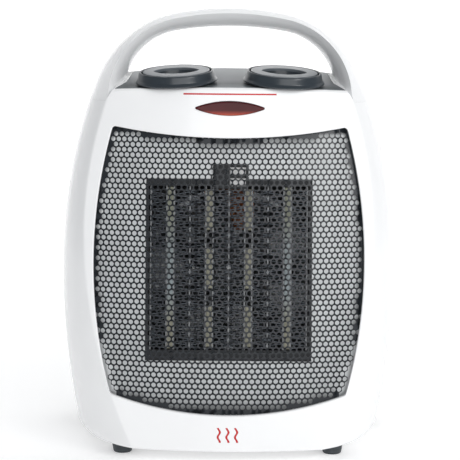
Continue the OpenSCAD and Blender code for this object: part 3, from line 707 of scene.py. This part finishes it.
def surface(name, colour, rough, metal=0.0, vary=0.06, scale=60.0, rough_vary=0.06, bump=0.02,
            bump_scale=900.0, coat=0.0, stretch=(1, 1, 1), specular=0.5):
    """Procedural material: colour mottled by noise, roughness varied by a second noise, and a fine grain."""
    mat = bpy.data.materials.new(name)
    tree, shader = nodes_of(mat)
    mapping = add(tree, "ShaderNodeMapping", Scale=stretch)
    feed(tree, add(tree, "ShaderNodeTexCoord").outputs["Object"], mapping.inputs["Vector"])

    def noise(**values):
        node = add(tree, "ShaderNodeTexNoise", **values)
        feed(tree, mapping.outputs["Vector"], node.inputs["Vector"])
        return node.outputs["Fac"]

    ramp = add(tree, "ShaderNodeValToRGB")
    for mark, position, factor in zip(ramp.color_ramp.elements, (0.3, 0.7), (1 - vary, 1 + vary)):
        mark.position = position
        mark.color = (*(min(1.0, c * factor) for c in colour), 1)
    feed(tree, noise(Scale=scale, Detail=5.0, Roughness=0.55), ramp.inputs["Fac"])
    span = add(tree, "ShaderNodeMapRange")
    span.inputs["To Min"].default_value = max(0.02, rough - rough_vary)
    span.inputs["To Max"].default_value = min(1.0, rough + rough_vary)
    feed(tree, noise(Scale=scale * 0.6, Detail=3.0, Roughness=0.6), span.inputs["Value"])
    relief = add(tree, "ShaderNodeBump", Strength=bump, Distance=0.0004)
    feed(tree, noise(Scale=bump_scale, Detail=2.0), relief.inputs["Height"])
    for key, value in (("Base Color", ramp.outputs["Color"]), ("Roughness", span.outputs["Result"]),
                       ("Normal", relief.outputs["Normal"]), ("Metallic", metal), ("IOR", 1.46),
                       ("Coat Weight", coat), ("Coat Roughness", 0.06), ("Specular IOR Level", specular)):
        feed(tree, value, shader.inputs[key])
    return mat


MATERIALS = {
    "white_shell": surface("white_shell", (0.86, 0.865, 0.87), 0.22, vary=0.012, scale=25, rough_vary=0.03,
                           bump=0.012, bump_scale=1400, coat=0.25),
    "intake_white": surface("intake_white", (0.78, 0.785, 0.79), 0.4, vary=0.03, scale=60, bump=0.05),
    "grey_panel": surface("grey_panel", (0.26, 0.275, 0.285), 0.42, vary=0.03, scale=45, bump=0.03,
                          specular=0.3),
    "black_steel": surface("black_steel", (0.010, 0.013, 0.017), 0.36, vary=0.2, scale=120, bump=0.03,
                           specular=0.45),
    "baffle_grey": surface("baffle_grey", (0.64, 0.655, 0.665), 0.36, metal=0.8, vary=0.04, scale=40,
                           bump=0.03),
    "red_lens": surface("red_lens", (0.07, 0.008, 0.008), 0.14, vary=0.2, scale=90, rough_vary=0.03,
                        bump=0.01, specular=0.22),
    "lamp_glass": surface("lamp_glass", (0.9, 0.25, 0.04), 0.12, vary=0.1, scale=300, bump=0.01),
    "ivory_plastic": surface("ivory_plastic", (0.78, 0.74, 0.62), 0.4, vary=0.05, scale=120, bump=0.04),
    "knob_dark": surface("knob_dark", (0.02, 0.028, 0.036), 0.3, vary=0.08, scale=90, rough_vary=0.04,
                         bump=0.015, coat=0.12),
    "ring_grey": surface("ring_grey", (0.11, 0.125, 0.14), 0.34, vary=0.05, scale=110, bump=0.02, coat=0.1),
    "switch_black": surface("switch_black", (0.03, 0.03, 0.033), 0.5, vary=0.15, scale=150, bump=0.06),
    "ceramic_beige": surface("ceramic_beige", (0.62, 0.56, 0.44), 0.7, vary=0.08, scale=200, bump=0.12),
    "ceramic_white": surface("ceramic_white", (0.97, 0.97, 0.97), 0.3, vary=0.02, scale=200, bump=0.04),
    "plated_steel": surface("plated_steel", (0.62, 0.62, 0.6), 0.28, metal=1.0, vary=0.1, scale=160,
                            bump=0.03),
    "frame_black": surface("frame_black", (0.02, 0.023, 0.028), 0.45, vary=0.18, scale=120, bump=0.05),
    "stone_beige": surface("stone_beige", (0.44, 0.43, 0.34), 0.75, vary=0.14, scale=260, bump=0.15),
    "element_aluminium": surface("element_aluminium", (0.30, 0.31, 0.32), 0.42, metal=0.6, vary=0.12,
                                 scale=180, bump=0.06, stretch=(1, 1, 6)),
    "fin_aluminium": surface("fin_aluminium", (0.15, 0.17, 0.195), 0.4, metal=0.6, vary=0.2, scale=260,
                             bump=0.05),
    "fan_grey": surface("fan_grey", (0.27, 0.28, 0.29), 0.4, vary=0.06, scale=70, bump=0.04),
    "rotor_steel": surface("rotor_steel", (0.4, 0.41, 0.42), 0.32, metal=1.0, vary=0.1, scale=90, bump=0.04,
                           stretch=(1, 14, 1)),
    "lamination_steel": surface("lamination_steel", (0.21, 0.2, 0.19), 0.5, metal=0.7, vary=0.35, scale=40,
                                bump=0.15, bump_scale=260, stretch=(1, 22, 1)),
    "copper_coil": surface("copper_coil", (0.26, 0.085, 0.03), 0.3, metal=0.8, vary=0.25, scale=60, bump=0.25,
                           bump_scale=320, stretch=(14, 1, 1)),
    "zinc_bracket": surface("zinc_bracket", (0.55, 0.56, 0.57), 0.4, metal=0.9, vary=0.12, scale=130,
                            bump=0.05),
    "bronze": surface("bronze", (0.5, 0.31, 0.12), 0.4, metal=1.0, vary=0.15, scale=300, bump=0.08),
    "bush_black": surface("bush_black", (0.022, 0.023, 0.025), 0.5, vary=0.15, scale=160, bump=0.05),
    "foot_rubber": surface("foot_rubber", (0.035, 0.042, 0.048), 0.5, vary=0.12, scale=180, bump=0.08),
}


def red_print(mat):
    """Printed marks on the white plastic: a thin line under the panel and three heat waves near the base."""
    tree = nodes_of(mat)[0]
    x, y, z = axes_of(tree)

    def calc(operation, *values):
        node = add(tree, "ShaderNodeMath", operation=operation)
        for k, value in enumerate(values):
            feed(tree, value, node.inputs[k])
        return node.outputs[0]

    line_z, line_half, line_t = 0.2043, 0.026, 0.00045
    wave_z, wave_h, wave_gap, wave_l = 0.0165, 0.0042, 0.0048, 0.0056
    swing = stroke = 0.0006
    line = calc("MULTIPLY", calc("COMPARE", z, line_z, line_t), calc("COMPARE", x, 0.0, line_half))
    bend = calc("MULTIPLY", calc("SINE", calc("MULTIPLY", z, 2 * math.pi / wave_l)), swing)
    moved = calc("SUBTRACT", x, bend)
    low, mid, high = (calc("COMPARE", moved, side * wave_gap, stroke) for side in (-1, 0, 1))
    waves = calc("MINIMUM", calc("ADD", calc("ADD", low, mid), high), 1.0)
    waves = calc("MULTIPLY", waves, calc("COMPARE", z, wave_z, wave_h))
    front = calc("LESS_THAN", y, -0.03)
    mask = calc("MULTIPLY", calc("MINIMUM", calc("ADD", line, waves), 1.0), front)
    return tint(mat, mask, (0.5, 0.012, 0.015, 1))


def graded(mat, axis, stops):
    """Tints a material along one axis of the row frame: stops are (millimetres, factor colour)."""
    tree = nodes_of(mat)[0]
    start, reach = stops[0][0], stops[-1][0] - stops[0][0]
    span = add(tree, "ShaderNodeMapRange")
    span.inputs["From Min"].default_value = start * MM
    span.inputs["From Max"].default_value = stops[-1][0] * MM
    feed(tree, axes_of(tree)[axis], span.inputs["Value"])
    ramp = add(tree, "ShaderNodeValToRGB")
    marks = ramp.color_ramp.elements
    for k, (at, factor) in enumerate(stops):
        mark = marks[k] if k < 2 else marks.new((at - start) / reach)
        mark.position = (at - start) / reach
        mark.color = (*factor, 1)
    feed(tree, span.outputs["Result"], ramp.inputs["Fac"])
    return tint(mat, 1.0, ramp.outputs["Color"], blend_type="MULTIPLY")


# painted shade and reflection: the panel is darker towards its front edge
graded(MATERIALS["grey_panel"], 1, [(PANEL_Y, (0.42, 0.47, 0.49)), (PANEL_Y + 9, (0.34, 0.38, 0.4)),
                                    (PANEL_Y + 15, (0.24, 0.27, 0.29)), (PANEL_Y + 26, (0.6, 0.61, 0.62)),
                                    (PANEL_Y + 62, (1.0, 1.0, 1.0))])
# painted glow and reflection: the lens glows orange along its lower rim and is tinted cooler towards its top
graded(MATERIALS["red_lens"], 2, [(LENS_Z - 4.0, (8.0, 15.0, 8.0)), (LENS_Z - 3.0, (4.5, 6.0, 4.0)),
                                  (LENS_Z - 1.2, (1.0, 1.0, 1.2)), (LENS_Z + 4, (0.8, 0.9, 1.3))])

# CAD nodes keep their meshes and take a detailed material by their slot
for row in frame["record"]["subparts"]:
    node_mesh = frame["nodes"][row["node"]].data
    node_mesh.materials.clear()
    node_mesh.materials.append(MATERIALS[row["material_slot"]])


# ---------------------------------------------------------------- housings
SCREW_ZS = (32, 172)
BOSS_R = 5
HEAD_R = 2.8
SEAT_Y = 9
INTAKE_HALF = 52
INTAKE_Z = (42, 126)
BUSH_AT = (-52, 26)
BUSH_HOLE_R = 5.4
SCREW_HOLE_R = 1.7
PEG_HOLE_R = 2.4
PLUNGER_HOLE_R = 3.4
PLUNGER_Y = 30
FLOOR_CUT_Z = 12  # the holes in the floor are cut up to here
SEAM = 0.12  # half the gap between the shells
FAR = ((-200, 200), (-300, 300), (-50, 400))  # past the object on all sides


def screw_places():
    """X and Z of the four housing screws."""
    for z in SCREW_ZS:
        for s in (-1, 1):
            yield s * (float(half_at(np.array(float(z)))) - WALL - BOSS_R + 0.8), z


def rounded_rect(x, z0, z1, r, grow):
    """Rounded rectangle in X and Z, symmetric in X."""
    segments = []
    for cx, cz, a in ((x - r, z0 + r, -90), (x - r, z1 - r, 0), (r - x, z1 - r, 90), (r - x, z0 + r, 180)):
        segments.append(arc_points((cx, cz), r + grow, math.radians(a), math.radians(a + 90), 6))
    return [p for s in segments for p, n in s]


def shoulder_slope(side):
    """Cutter for a sloping top corner of the front face, which the handle's leg fills from behind."""
    x_low = float(crease_at(np.array(float(SHOULDER_Z)))) + 0.4
    x_high = PANEL_HALF - 0.5
    outline = [(x_low, SHOULDER_Z), (x_high, PANEL_Z - 0.6), (x_high, BODY_H), (HALF_W, BODY_H),
               (HALF_W, SHOULDER_Z)]
    return loft("slope", [[(side * x, y, z) for x, z in outline] for y in (FRONT_Y, PARTING_Y - 3)])


def make_housings():
    shell = body_form("shell", 0.0, 0.0, 1.2)
    for side in (-1, 1):
        boolean(shell, shoulder_slope(side))
    boolean(shell, handle_form("handle"), "UNION")
    hollow = body_form("hollow", WALL, PANEL_T + WALL, 0.0)
    for x, z in screw_places():
        boolean(hollow, rod_y("boss", BOSS_R, PARTING_Y - 16, BACK_Y, x, z, 40))
    boolean(shell, hollow)
    boolean(shell, front_cutter("window", window_outline, 0.9, CORE_Y + 10))
    boolean(shell, front_cutter("eye", lambda g: lens_outline(g + 0.15), 0.35, CORE_Y + 10))
    boolean(shell, panel_cutter("seat", 0.25, 6, -PANEL_T - 0.1, 0.35))
    boolean(shell, panel_cutter("seat_hole", -3, 1, -12))
    for x, z in screw_places():
        boolean(shell, rod_y("pocket", HEAD_R + 0.4, PARTING_Y + SEAT_Y, BACK_Y + 20, x, z, 40))
        boolean(shell, rod_y("clear", SCREW_HOLE_R, PARTING_Y - 13, PARTING_Y + 20, x, z, 24))
    loops = [[(p[0], y, p[1]) for p in rounded_rect(INTAKE_HALF, *INTAKE_Z, 4, g)]
             for y, g in ((BACK_Y - 20, 0), (BACK_Y - 1.2, 0), (BACK_Y - 0.6, 0.25), (BACK_Y + 3, 1.6))]
    boolean(shell, loft("intake", loops))
    boolean(shell, rod_y("bush_hole", BUSH_HOLE_R, BACK_Y - 30, BACK_Y + 20, *BUSH_AT, 40))
    for x, y in FOOT_PLACES:
        boolean(shell, rod_z("foot_hole", PEG_HOLE_R, 0, FLOOR_CUT_Z, x, y, 32))
    boolean(shell, rod_z("plunger_hole", PLUNGER_HOLE_R, 0, FLOOR_CUT_Z, 0, PLUNGER_Y, 32))
    rear = link_object("rear_shell", shell.data.copy())
    shell.name = "front_shell"
    boolean(shell, box_object("cut", *FAR[0], PARTING_Y - SEAM, FAR[1][1], *FAR[2]))
    boolean(rear, box_object("cut", *FAR[0], FAR[1][0], PARTING_Y + SEAM, *FAR[2]))
    finish_mesh(shell, 28)
    finish_mesh(rear, 28)
    printed = MATERIALS["white_shell"].copy()
    printed.name = "white_shell_print"
    place_piece(shell, ROOT, "white_shell", "front_housing", mat=red_print(printed))
    place_piece(rear, ROOT, "white_shell", "rear_housing")


make_housings()


# ---------------------------------------------------------------- front grille
HOLE_D = 2.65
HOLE_PITCH = 3.33
BOW_R = 222  # mean radius of the sheet seen from above
GRILLE_IN = WALL + 0.25
HOLE_ROWS, HOLE_COLUMNS = 32, 28  # to each side of the middle


def make_grille():
    """Bowed sheet with staggered round holes: twelve-sided cells, pierced except at the border."""
    row_h = HOLE_PITCH * math.sqrt(3) / 2
    z_mid = (WINDOW_LOW + WINDOW_HIGH) / 2
    cells = np.array([((i + 0.5 * (j % 2)) * HOLE_PITCH, z_mid + j * row_h)
                      for j in range(-HOLE_ROWS, HOLE_ROWS + 1)
                      for i in range(-HOLE_COLUMNS, HOLE_COLUMNS + 1)])
    x = BOW_R * np.sin(cells[:, 0] / BOW_R)
    z = cells[:, 1]
    sheet = inside(window_outline(1.3), x, z) & (np.abs(x) < crease_at(z) - 2.4)
    open_cell = inside(window_outline(-1.75), x, z) & sheet
    known, points, faces = {}, [], []

    def point(s, h, depth):
        """Number of the point that lies s along the sheet at height h, shared between cells."""
        key = (round(s * 500), round(h * 500), depth)
        if key not in known:
            px = BOW_R * math.sin(s / BOW_R)
            known[key] = len(points)
            points.append((px, float(front_at(px, h, depth)), h))
        return known[key]

    rim_r = [HOLE_PITCH / math.sqrt(3), HOLE_PITCH / 2]
    angles = [math.radians(30 * k + 30) for k in range(12)]
    edge_count = {}
    for n, (s, h) in enumerate(cells):
        if not sheet[n]:
            continue
        front_rim, back_rim, front_hole, back_hole = [], [], [], []
        for k, a in enumerate(angles):
            r = rim_r[k % 2]
            front_rim.append(point(s + r * math.cos(a), h + r * math.sin(a), GRILLE_IN))
            back_rim.append(point(s + r * math.cos(a), h + r * math.sin(a), GRILLE_IN + GRILLE_T))
            if open_cell[n]:
                r = HOLE_D / 2
                front_hole.append(point(s + r * math.cos(a), h + r * math.sin(a), GRILLE_IN))
                back_hole.append(point(s + r * math.cos(a), h + r * math.sin(a), GRILLE_IN + GRILLE_T))
        for k in range(12):
            q = (k + 1) % 12
            edge = tuple(sorted((front_rim[k], front_rim[q])))
            edge_count.setdefault(edge, []).append((front_rim[k], front_rim[q], back_rim[q], back_rim[k]))
            if open_cell[n]:
                faces.append((front_rim[k], front_rim[q], front_hole[q], front_hole[k]))
                faces.append((back_rim[q], back_rim[k], back_hole[k], back_hole[q]))
                faces.append((front_hole[k], front_hole[q], back_hole[q], back_hole[k]))
        if not open_cell[n]:
            faces.append(tuple(front_rim))
            faces.append(tuple(reversed(back_rim)))
    for sides in edge_count.values():
        if len(sides) == 1:
            faces.append(tuple(reversed(sides[0])))
    grille = mesh_object("grille_sheet", points, faces)
    finish_mesh(grille, 40, weighted=False)
    place_piece(grille, ROOT, "black_steel", "front_grille")


make_grille()


# ---------------------------------------------------------------- heating element
ELEMENT_Y = 0.5
STRIP_Y = (ELEMENT_Y + 2, ELEMENT_Y + ELEMENT_T - 1)
STRIP_Z = (-ELEMENT_H / 2 + 6, ELEMENT_H / 2 - 4)
STONE_W = 3.4
PLATE_W = 0.8
FIN_PITCH = 3.5
FOIL_T = 0.32
FOIL_GAP = 0.02
SEPARATOR_T = 0.8
LONG_STONE, SHORT_STONE = (15.2, 30.8), (11.6, 33.2)  # half height and pitch, in the outer and inner columns
CUTOUT_X = (0.2, 9.3)
CUTOUT_Y = (-4.4, -1.3)
CUTOUT_Z = (ELEMENT_H / 2 - 4.1, 58.1)


def core_slab(name, x0, x1, z0, z1, y0, y1, bevel):
    """Block in the core's frame with softened front and rear edges."""
    loops = []
    for y, b in ((y0, bevel), (y0 + bevel, 0), (y1 - bevel, 0), (y1, bevel)):
        corners = ((x0 + b, z0 + b), (x1 - b, z0 + b), (x1 - b, z1 - b), (x0 + b, z1 - b))
        loops.append([AT_CORE @ Vector((x, y, z)) for x, z in corners])
    return loft(name, loops)


def fin_foil(name, x_from, x_to):
    """Folded foil between a plate and a separator, with round folds."""
    turns = int((STRIP_Z[1] - STRIP_Z[0] - 1) / FIN_PITCH * 2)
    middle = []
    for k in range(turns * 6 + 1):
        u = k / 6
        reach = 0.5 - 0.5 * math.cos(math.pi * u)
        reach = min(1.0, max(0.0, 0.5 + (reach - 0.5) * 1.25))
        middle.append((x_from + (x_to - x_from) * reach, STRIP_Z[0] + 0.5 + u * FIN_PITCH / 2))
    left, right = [], []
    for k, (x, z) in enumerate(middle):
        a, b = middle[max(0, k - 1)], middle[min(len(middle) - 1, k + 1)]
        dx, dz = b[0] - a[0], b[1] - a[1]
        n = math.hypot(dx, dz)
        left.append((x - dz / n * FOIL_T / 2, z + dx / n * FOIL_T / 2))
        right.append((x + dz / n * FOIL_T / 2, z - dx / n * FOIL_T / 2))
    points, faces = [], []
    for q in (left, right):
        for y in (STRIP_Y[0], STRIP_Y[1]):
            points += [AT_CORE @ Vector((x, y, z)) for x, z in q]
    n = len(middle)
    for k in range(n - 1):
        faces += [(k, k + 1, n + k + 1, n + k), (2 * n + k + 1, 2 * n + k, 3 * n + k, 3 * n + k + 1),
                  (k + 1, k, 2 * n + k, 2 * n + k + 1), (n + k, n + k + 1, 3 * n + k + 1, 3 * n + k)]
    faces += [(0, n, 3 * n, 2 * n), (2 * n - 1, n - 1, 3 * n - 1, 4 * n - 1)]
    return mesh_object(name, [tuple(q) for q in points], faces)


def make_element():
    """Stones and foils. The outer stones look greyer in the middle, so they are a piece of their own."""
    middle = (STRIP_Z[0] + STRIP_Z[1]) / 2
    columns, foils = {"stones_inner": [], "stones_outer": []}, []
    for k in range(4):
        x = (k - 1.5) * COLUMN_PITCH
        half, pitch = SHORT_STONE if k in (1, 2) else LONG_STONE
        for j in (-1, 0, 1):
            slab = core_slab(f"stone_{k}_{j}", x - STONE_W / 2, x + STONE_W / 2, middle + j * pitch - half,
                             middle + j * pitch + half, STRIP_Y[0] - 0.4, STRIP_Y[1], 0.35)
            columns["stones_inner" if k in (1, 2) else "stones_outer"].append(slab)
        near = STONE_W / 2 + PLATE_W + FOIL_T / 2 + FOIL_GAP
        far = COLUMN_PITCH / 2 - SEPARATOR_T / 2 - FOIL_T / 2 - FOIL_GAP
        for side in (-1, 1):
            foils.append(fin_foil(f"foil_{k}_{side}", x + side * near, x + side * far))
    inner, outer = (join(slabs, name) for name, slabs in columns.items())
    finish_mesh(inner, 30)
    finish_mesh(outer, 30)
    grey = MATERIALS["stone_beige"].copy()
    grey.name = "stone_grey"
    graded(grey, 2, [(CORE_Z - 30, (1, 1, 1)), (CORE_Z - 12, (1.15, 1.35, 1.8)),
                     (CORE_Z + 14, (1.05, 1.2, 1.55)), (CORE_Z + 30, (0.9, 0.95, 0.95))])
    place_piece(inner, ROOT, "stone_beige", "ptc_stones")
    place_piece(outer, ROOT, "stone_beige", mat=grey)
    fins = join(foils, "fin_foils")
    finish_mesh(fins, 40, weighted=False)
    place_piece(fins, ROOT, "fin_aluminium", "element_fins")


def make_cutout():
    """Ceramic body of the thermal cut-out, waisted in the middle where its dark strap crosses it."""
    (x0, x1), (y0, y1), (z0, z1) = CUTOUT_X, CUTOUT_Y, CUTOUT_Z
    waist = (z0 + z1) / 2
    halves = [core_slab("cutout_low", x0, x1, z0, waist - 0.9, y0, y1, 0.5),
              core_slab("cutout_high", x0, x1, waist + 0.9, z1, y0, y1, 0.5),
              core_slab("cutout_neck", x0 + 0.6, x1 - 0.6, waist - 1.2, waist + 1.2, y0 + 1.2, y1, 0.2)]
    body = join(halves, "cutout_body")
    finish_mesh(body, 30)
    place_piece(body, ROOT, "ceramic_white", "thermal_cutout")
    strap = core_slab("cutout_strap", x0 + 0.2, x1 - 0.2, waist - 0.75, waist + 0.75, y0 + 0.2, y0 + 1.15,
                      0.2)
    finish_mesh(strap, 30)
    place_piece(strap, ROOT, "frame_black")


make_element()
make_cutout()


# ---------------------------------------------------------------- indicator lens
def make_lens():
    loops = []
    for depth, grow in ((WALL + 1.2, 1.4), (WALL + 0.3, 1.4), (WALL + 0.3, 0.0), (0.25, 0.0)):
        loops.append([(p[0], float(front_at(p[0], p[1], depth)), p[1]) for p in lens_outline(grow)])
    for k in range(1, 7):
        a = math.radians(15 * k)
        outline = lens_outline(-0.9 * (1 - math.cos(a)), 0.5 if k < 3 else 1.0)
        loops.append([(p[0], float(front_at(p[0], p[1], 0.25 - 0.6 * math.sin(a))), p[1]) for p in outline])
    lens = loft("lens_window", loops)
    finish_mesh(lens, 40)
    place_piece(lens, ROOT, "red_lens", "indicator_lens")


make_lens()


# ---------------------------------------------------------------- control panel and knobs
def make_panel():
    plate = crown_plate("panel_plate", PANEL_T, 0.5)
    for side in (-1, 1):
        boolean(plate, lathe("hole", [(0, -10), (6.5, -10), (6.5, 8), (0, 8)], 48, at_knob(side)))
    finish_mesh(plate, 30)
    place_piece(plate, ROOT, "grey_panel", "control_panel")


def eye_outline(l, h, grow):
    return pointed_oval(l, h, 0.0, 30, 0.8, grow)


def eye_cutter(name, place, floor, top, lip, l, h, taper=0.0):
    """Cutter for a pointed oval hollow whose mouth flares by a round lip."""
    loops = [[place @ Vector((p[0], p[1], floor)) for p in eye_outline(l, h, -taper)]]
    for a in np.radians([0, 22, 45, 67]):
        grow, height = lip * (1 - math.cos(a)), top - lip + lip * math.sin(a)
        loops.append([place @ Vector((p[0], p[1], height)) for p in eye_outline(l, h, grow)])
    loops.append([place @ Vector((p[0], p[1], top + 4)) for p in eye_outline(l, h, lip)])
    return loft(name, loops)


def make_knob(side, name):
    """A turned skirt with a light cap pressed in its top, both hollowed by a pointed oval."""
    place = at_knob(side)
    r = KNOB_D / 2
    top = KNOB_H - RING_T
    foot, rim, cap_r = KNOB_GAP, KNOB_H, r - 4.15
    profile = [(0, foot), (r - 0.5, foot), (r, foot + 0.25), (r, foot + 0.8), (r - 0.25, foot + 1.1),
               (r - 1.0, foot + 1.9), (r - 1.25, foot + 2.5), (r - 1.75, rim - 1.3), (r - 2.0, rim - 0.55),
               (r - 2.35, rim - 0.15), (r - 2.7, rim - 0.1), (r - 3.1, rim - 0.25), (r - 3.35, rim - 0.7),
               (r - 3.4, top - 0.6), (cap_r, top - 0.6), (cap_r, top), (0, top)]
    skirt = lathe(name + "_skirt", profile, 128, place)
    boolean(skirt, lathe("stem", [(0, -8), (6, -8), (6, 2), (0, 2)], 48, place), "UNION")
    length, height = KNOB_D * 0.55, KNOB_D * 0.42
    boolean(skirt, eye_cutter("pit", place, 2.6, top + 1, 0.1, length, height, 0.8))
    finish_mesh(skirt, 32)
    place_piece(skirt, name, "knob_dark", name)
    cap = lathe(name + "_cap", [(0, top), (cap_r, top), (cap_r, rim - 0.35), (cap_r - 0.12, rim - 0.12),
                                (cap_r - 0.4, rim), (0, rim)], 128, place)
    boolean(cap, eye_cutter("mouth", place, top - 2, KNOB_H, 0.5, length, height))
    finish_mesh(cap, 32)
    place_piece(cap, name, "ring_grey", name + "_ring")


make_panel()
make_knob(-1, "mode_knob")
make_knob(1, "thermostat_knob")


# ---------------------------------------------------------------- feet
def make_feet():
    """Rubber feet, each with a peg that snaps through the floor of the housing."""
    r, peg, barb = FOOT_D / 2, 2.35, 3.2
    floor = BASE_Z + WALL
    profile = [(0, 0.6), (2.4, 0.6), (2.9, 0), (r - 1.4, 0), (r - 0.9, 0.5), (r - 0.5, 2.5),
               (r, BASE_Z - 1.2), (r, BASE_Z), (peg, BASE_Z), (peg, floor), (barb, floor),
               (barb, floor + 1.0), (2.4, floor + 1.5), (0, floor + 1.5)]
    feet = []
    for k, (x, y) in enumerate(FOOT_PLACES):
        feet.append(lathe(f"foot_{k}", profile, 64, Matrix.Translation((x, y, 0))))
        finish_mesh(feet[-1], 35)
    place_piece(join(feet, "feet"), ROOT, "foot_rubber", "rubber_feet")


make_feet()


# ---------------------------------------------------------------- camera, floor and light
def make_stage():
    """White paper that runs back along the floor and bends up behind the object."""
    half, deep, rise, bend = 3.0, 1.6, 2.4, 0.5
    profile = [(-3.0, 0.0), (deep - bend, 0.0)]
    profile += [(deep - bend + bend * math.sin(a), bend - bend * math.cos(a))
                for a in np.radians(range(10, 91, 10))]
    profile.append((deep, rise))
    points = [(s * half, y, z) for y, z in profile for s in (-1, 1)]
    faces = [(2 * k, 2 * k + 1, 2 * k + 3, 2 * k + 2) for k in range(len(profile) - 1)]
    sheet = bpy.data.meshes.new("floor")
    sheet.from_pydata(points, [], faces)
    for face in sheet.polygons:
        face.use_smooth = True
    paper = surface("paper", (0.9, 0.9, 0.9), 0.9, vary=0.004, scale=4, bump=0.0, specular=0.1)
    shader = nodes_of(paper)[1]
    shader.inputs["Emission Color"].default_value = (1, 1, 1, 1)
    shader.inputs["Emission Strength"].default_value = 0.26
    sheet.materials.append(paper)
    link_object("floor", sheet)


def area_light(name, place, aim, size, power):
    data = bpy.data.lights.new(name, "AREA")
    data.shape = "RECTANGLE"
    data.size, data.size_y = size
    data.energy = power
    lamp = link_object(name, data)
    lamp.location = place
    lamp.rotation_mode = "QUATERNION"
    lamp.rotation_quaternion = (Vector(aim) - Vector(place)).to_track_quat("-Z", "Y")


CAMERA_AT = (0, -0.860, 0.224)
CAMERA_DOWN = math.radians(6.74)
CAMERA_ROLL = math.radians(0.45)
CAMERA_LENS = 113.47826  # millimetres, on a sensor 36 mm wide
CAMERA_SHIFT = 0.0021739


def make_camera():
    data = bpy.data.cameras.new("camera")
    data.sensor_width = 36.0
    data.lens = CAMERA_LENS
    data.shift_x = CAMERA_SHIFT
    data.clip_start, data.clip_end = 0.01, 50
    camera = link_object("camera", data)
    camera.location = CAMERA_AT
    camera.rotation_euler = (Matrix.Rotation(math.radians(90) - CAMERA_DOWN, 4, "X")
                             @ Matrix.Rotation(CAMERA_ROLL, 4, "Z")).to_euler()
    bpy.context.scene.camera = camera


make_stage()
make_camera()
area_light("front", (0.6, -2.6, 0.9), (0, 0, 0.12), (2.6, 1.8), 33.5)
area_light("key", (1.02, -1.1, 0.82), (0, 0, 0.14), (0.5, 0.5), 6)
area_light("top", (0.0, 0.1, 1.5), (0, 0, 0.1), (1.0, 0.7), 1.2)
area_light("backdrop", (0.0, 0.7, 1.4), (0, 1.6, 0.5), (2.0, 0.8), 12)

world = bpy.data.worlds.new("studio")
bpy.context.scene.world = world
world.use_nodes = True
sky = world.node_tree.nodes["Background"]
sky.inputs["Color"].default_value = (0.95, 0.97, 1.0, 1)
sky.inputs["Strength"].default_value = 0.36
bpy.context.scene.view_settings.view_transform = "Standard"
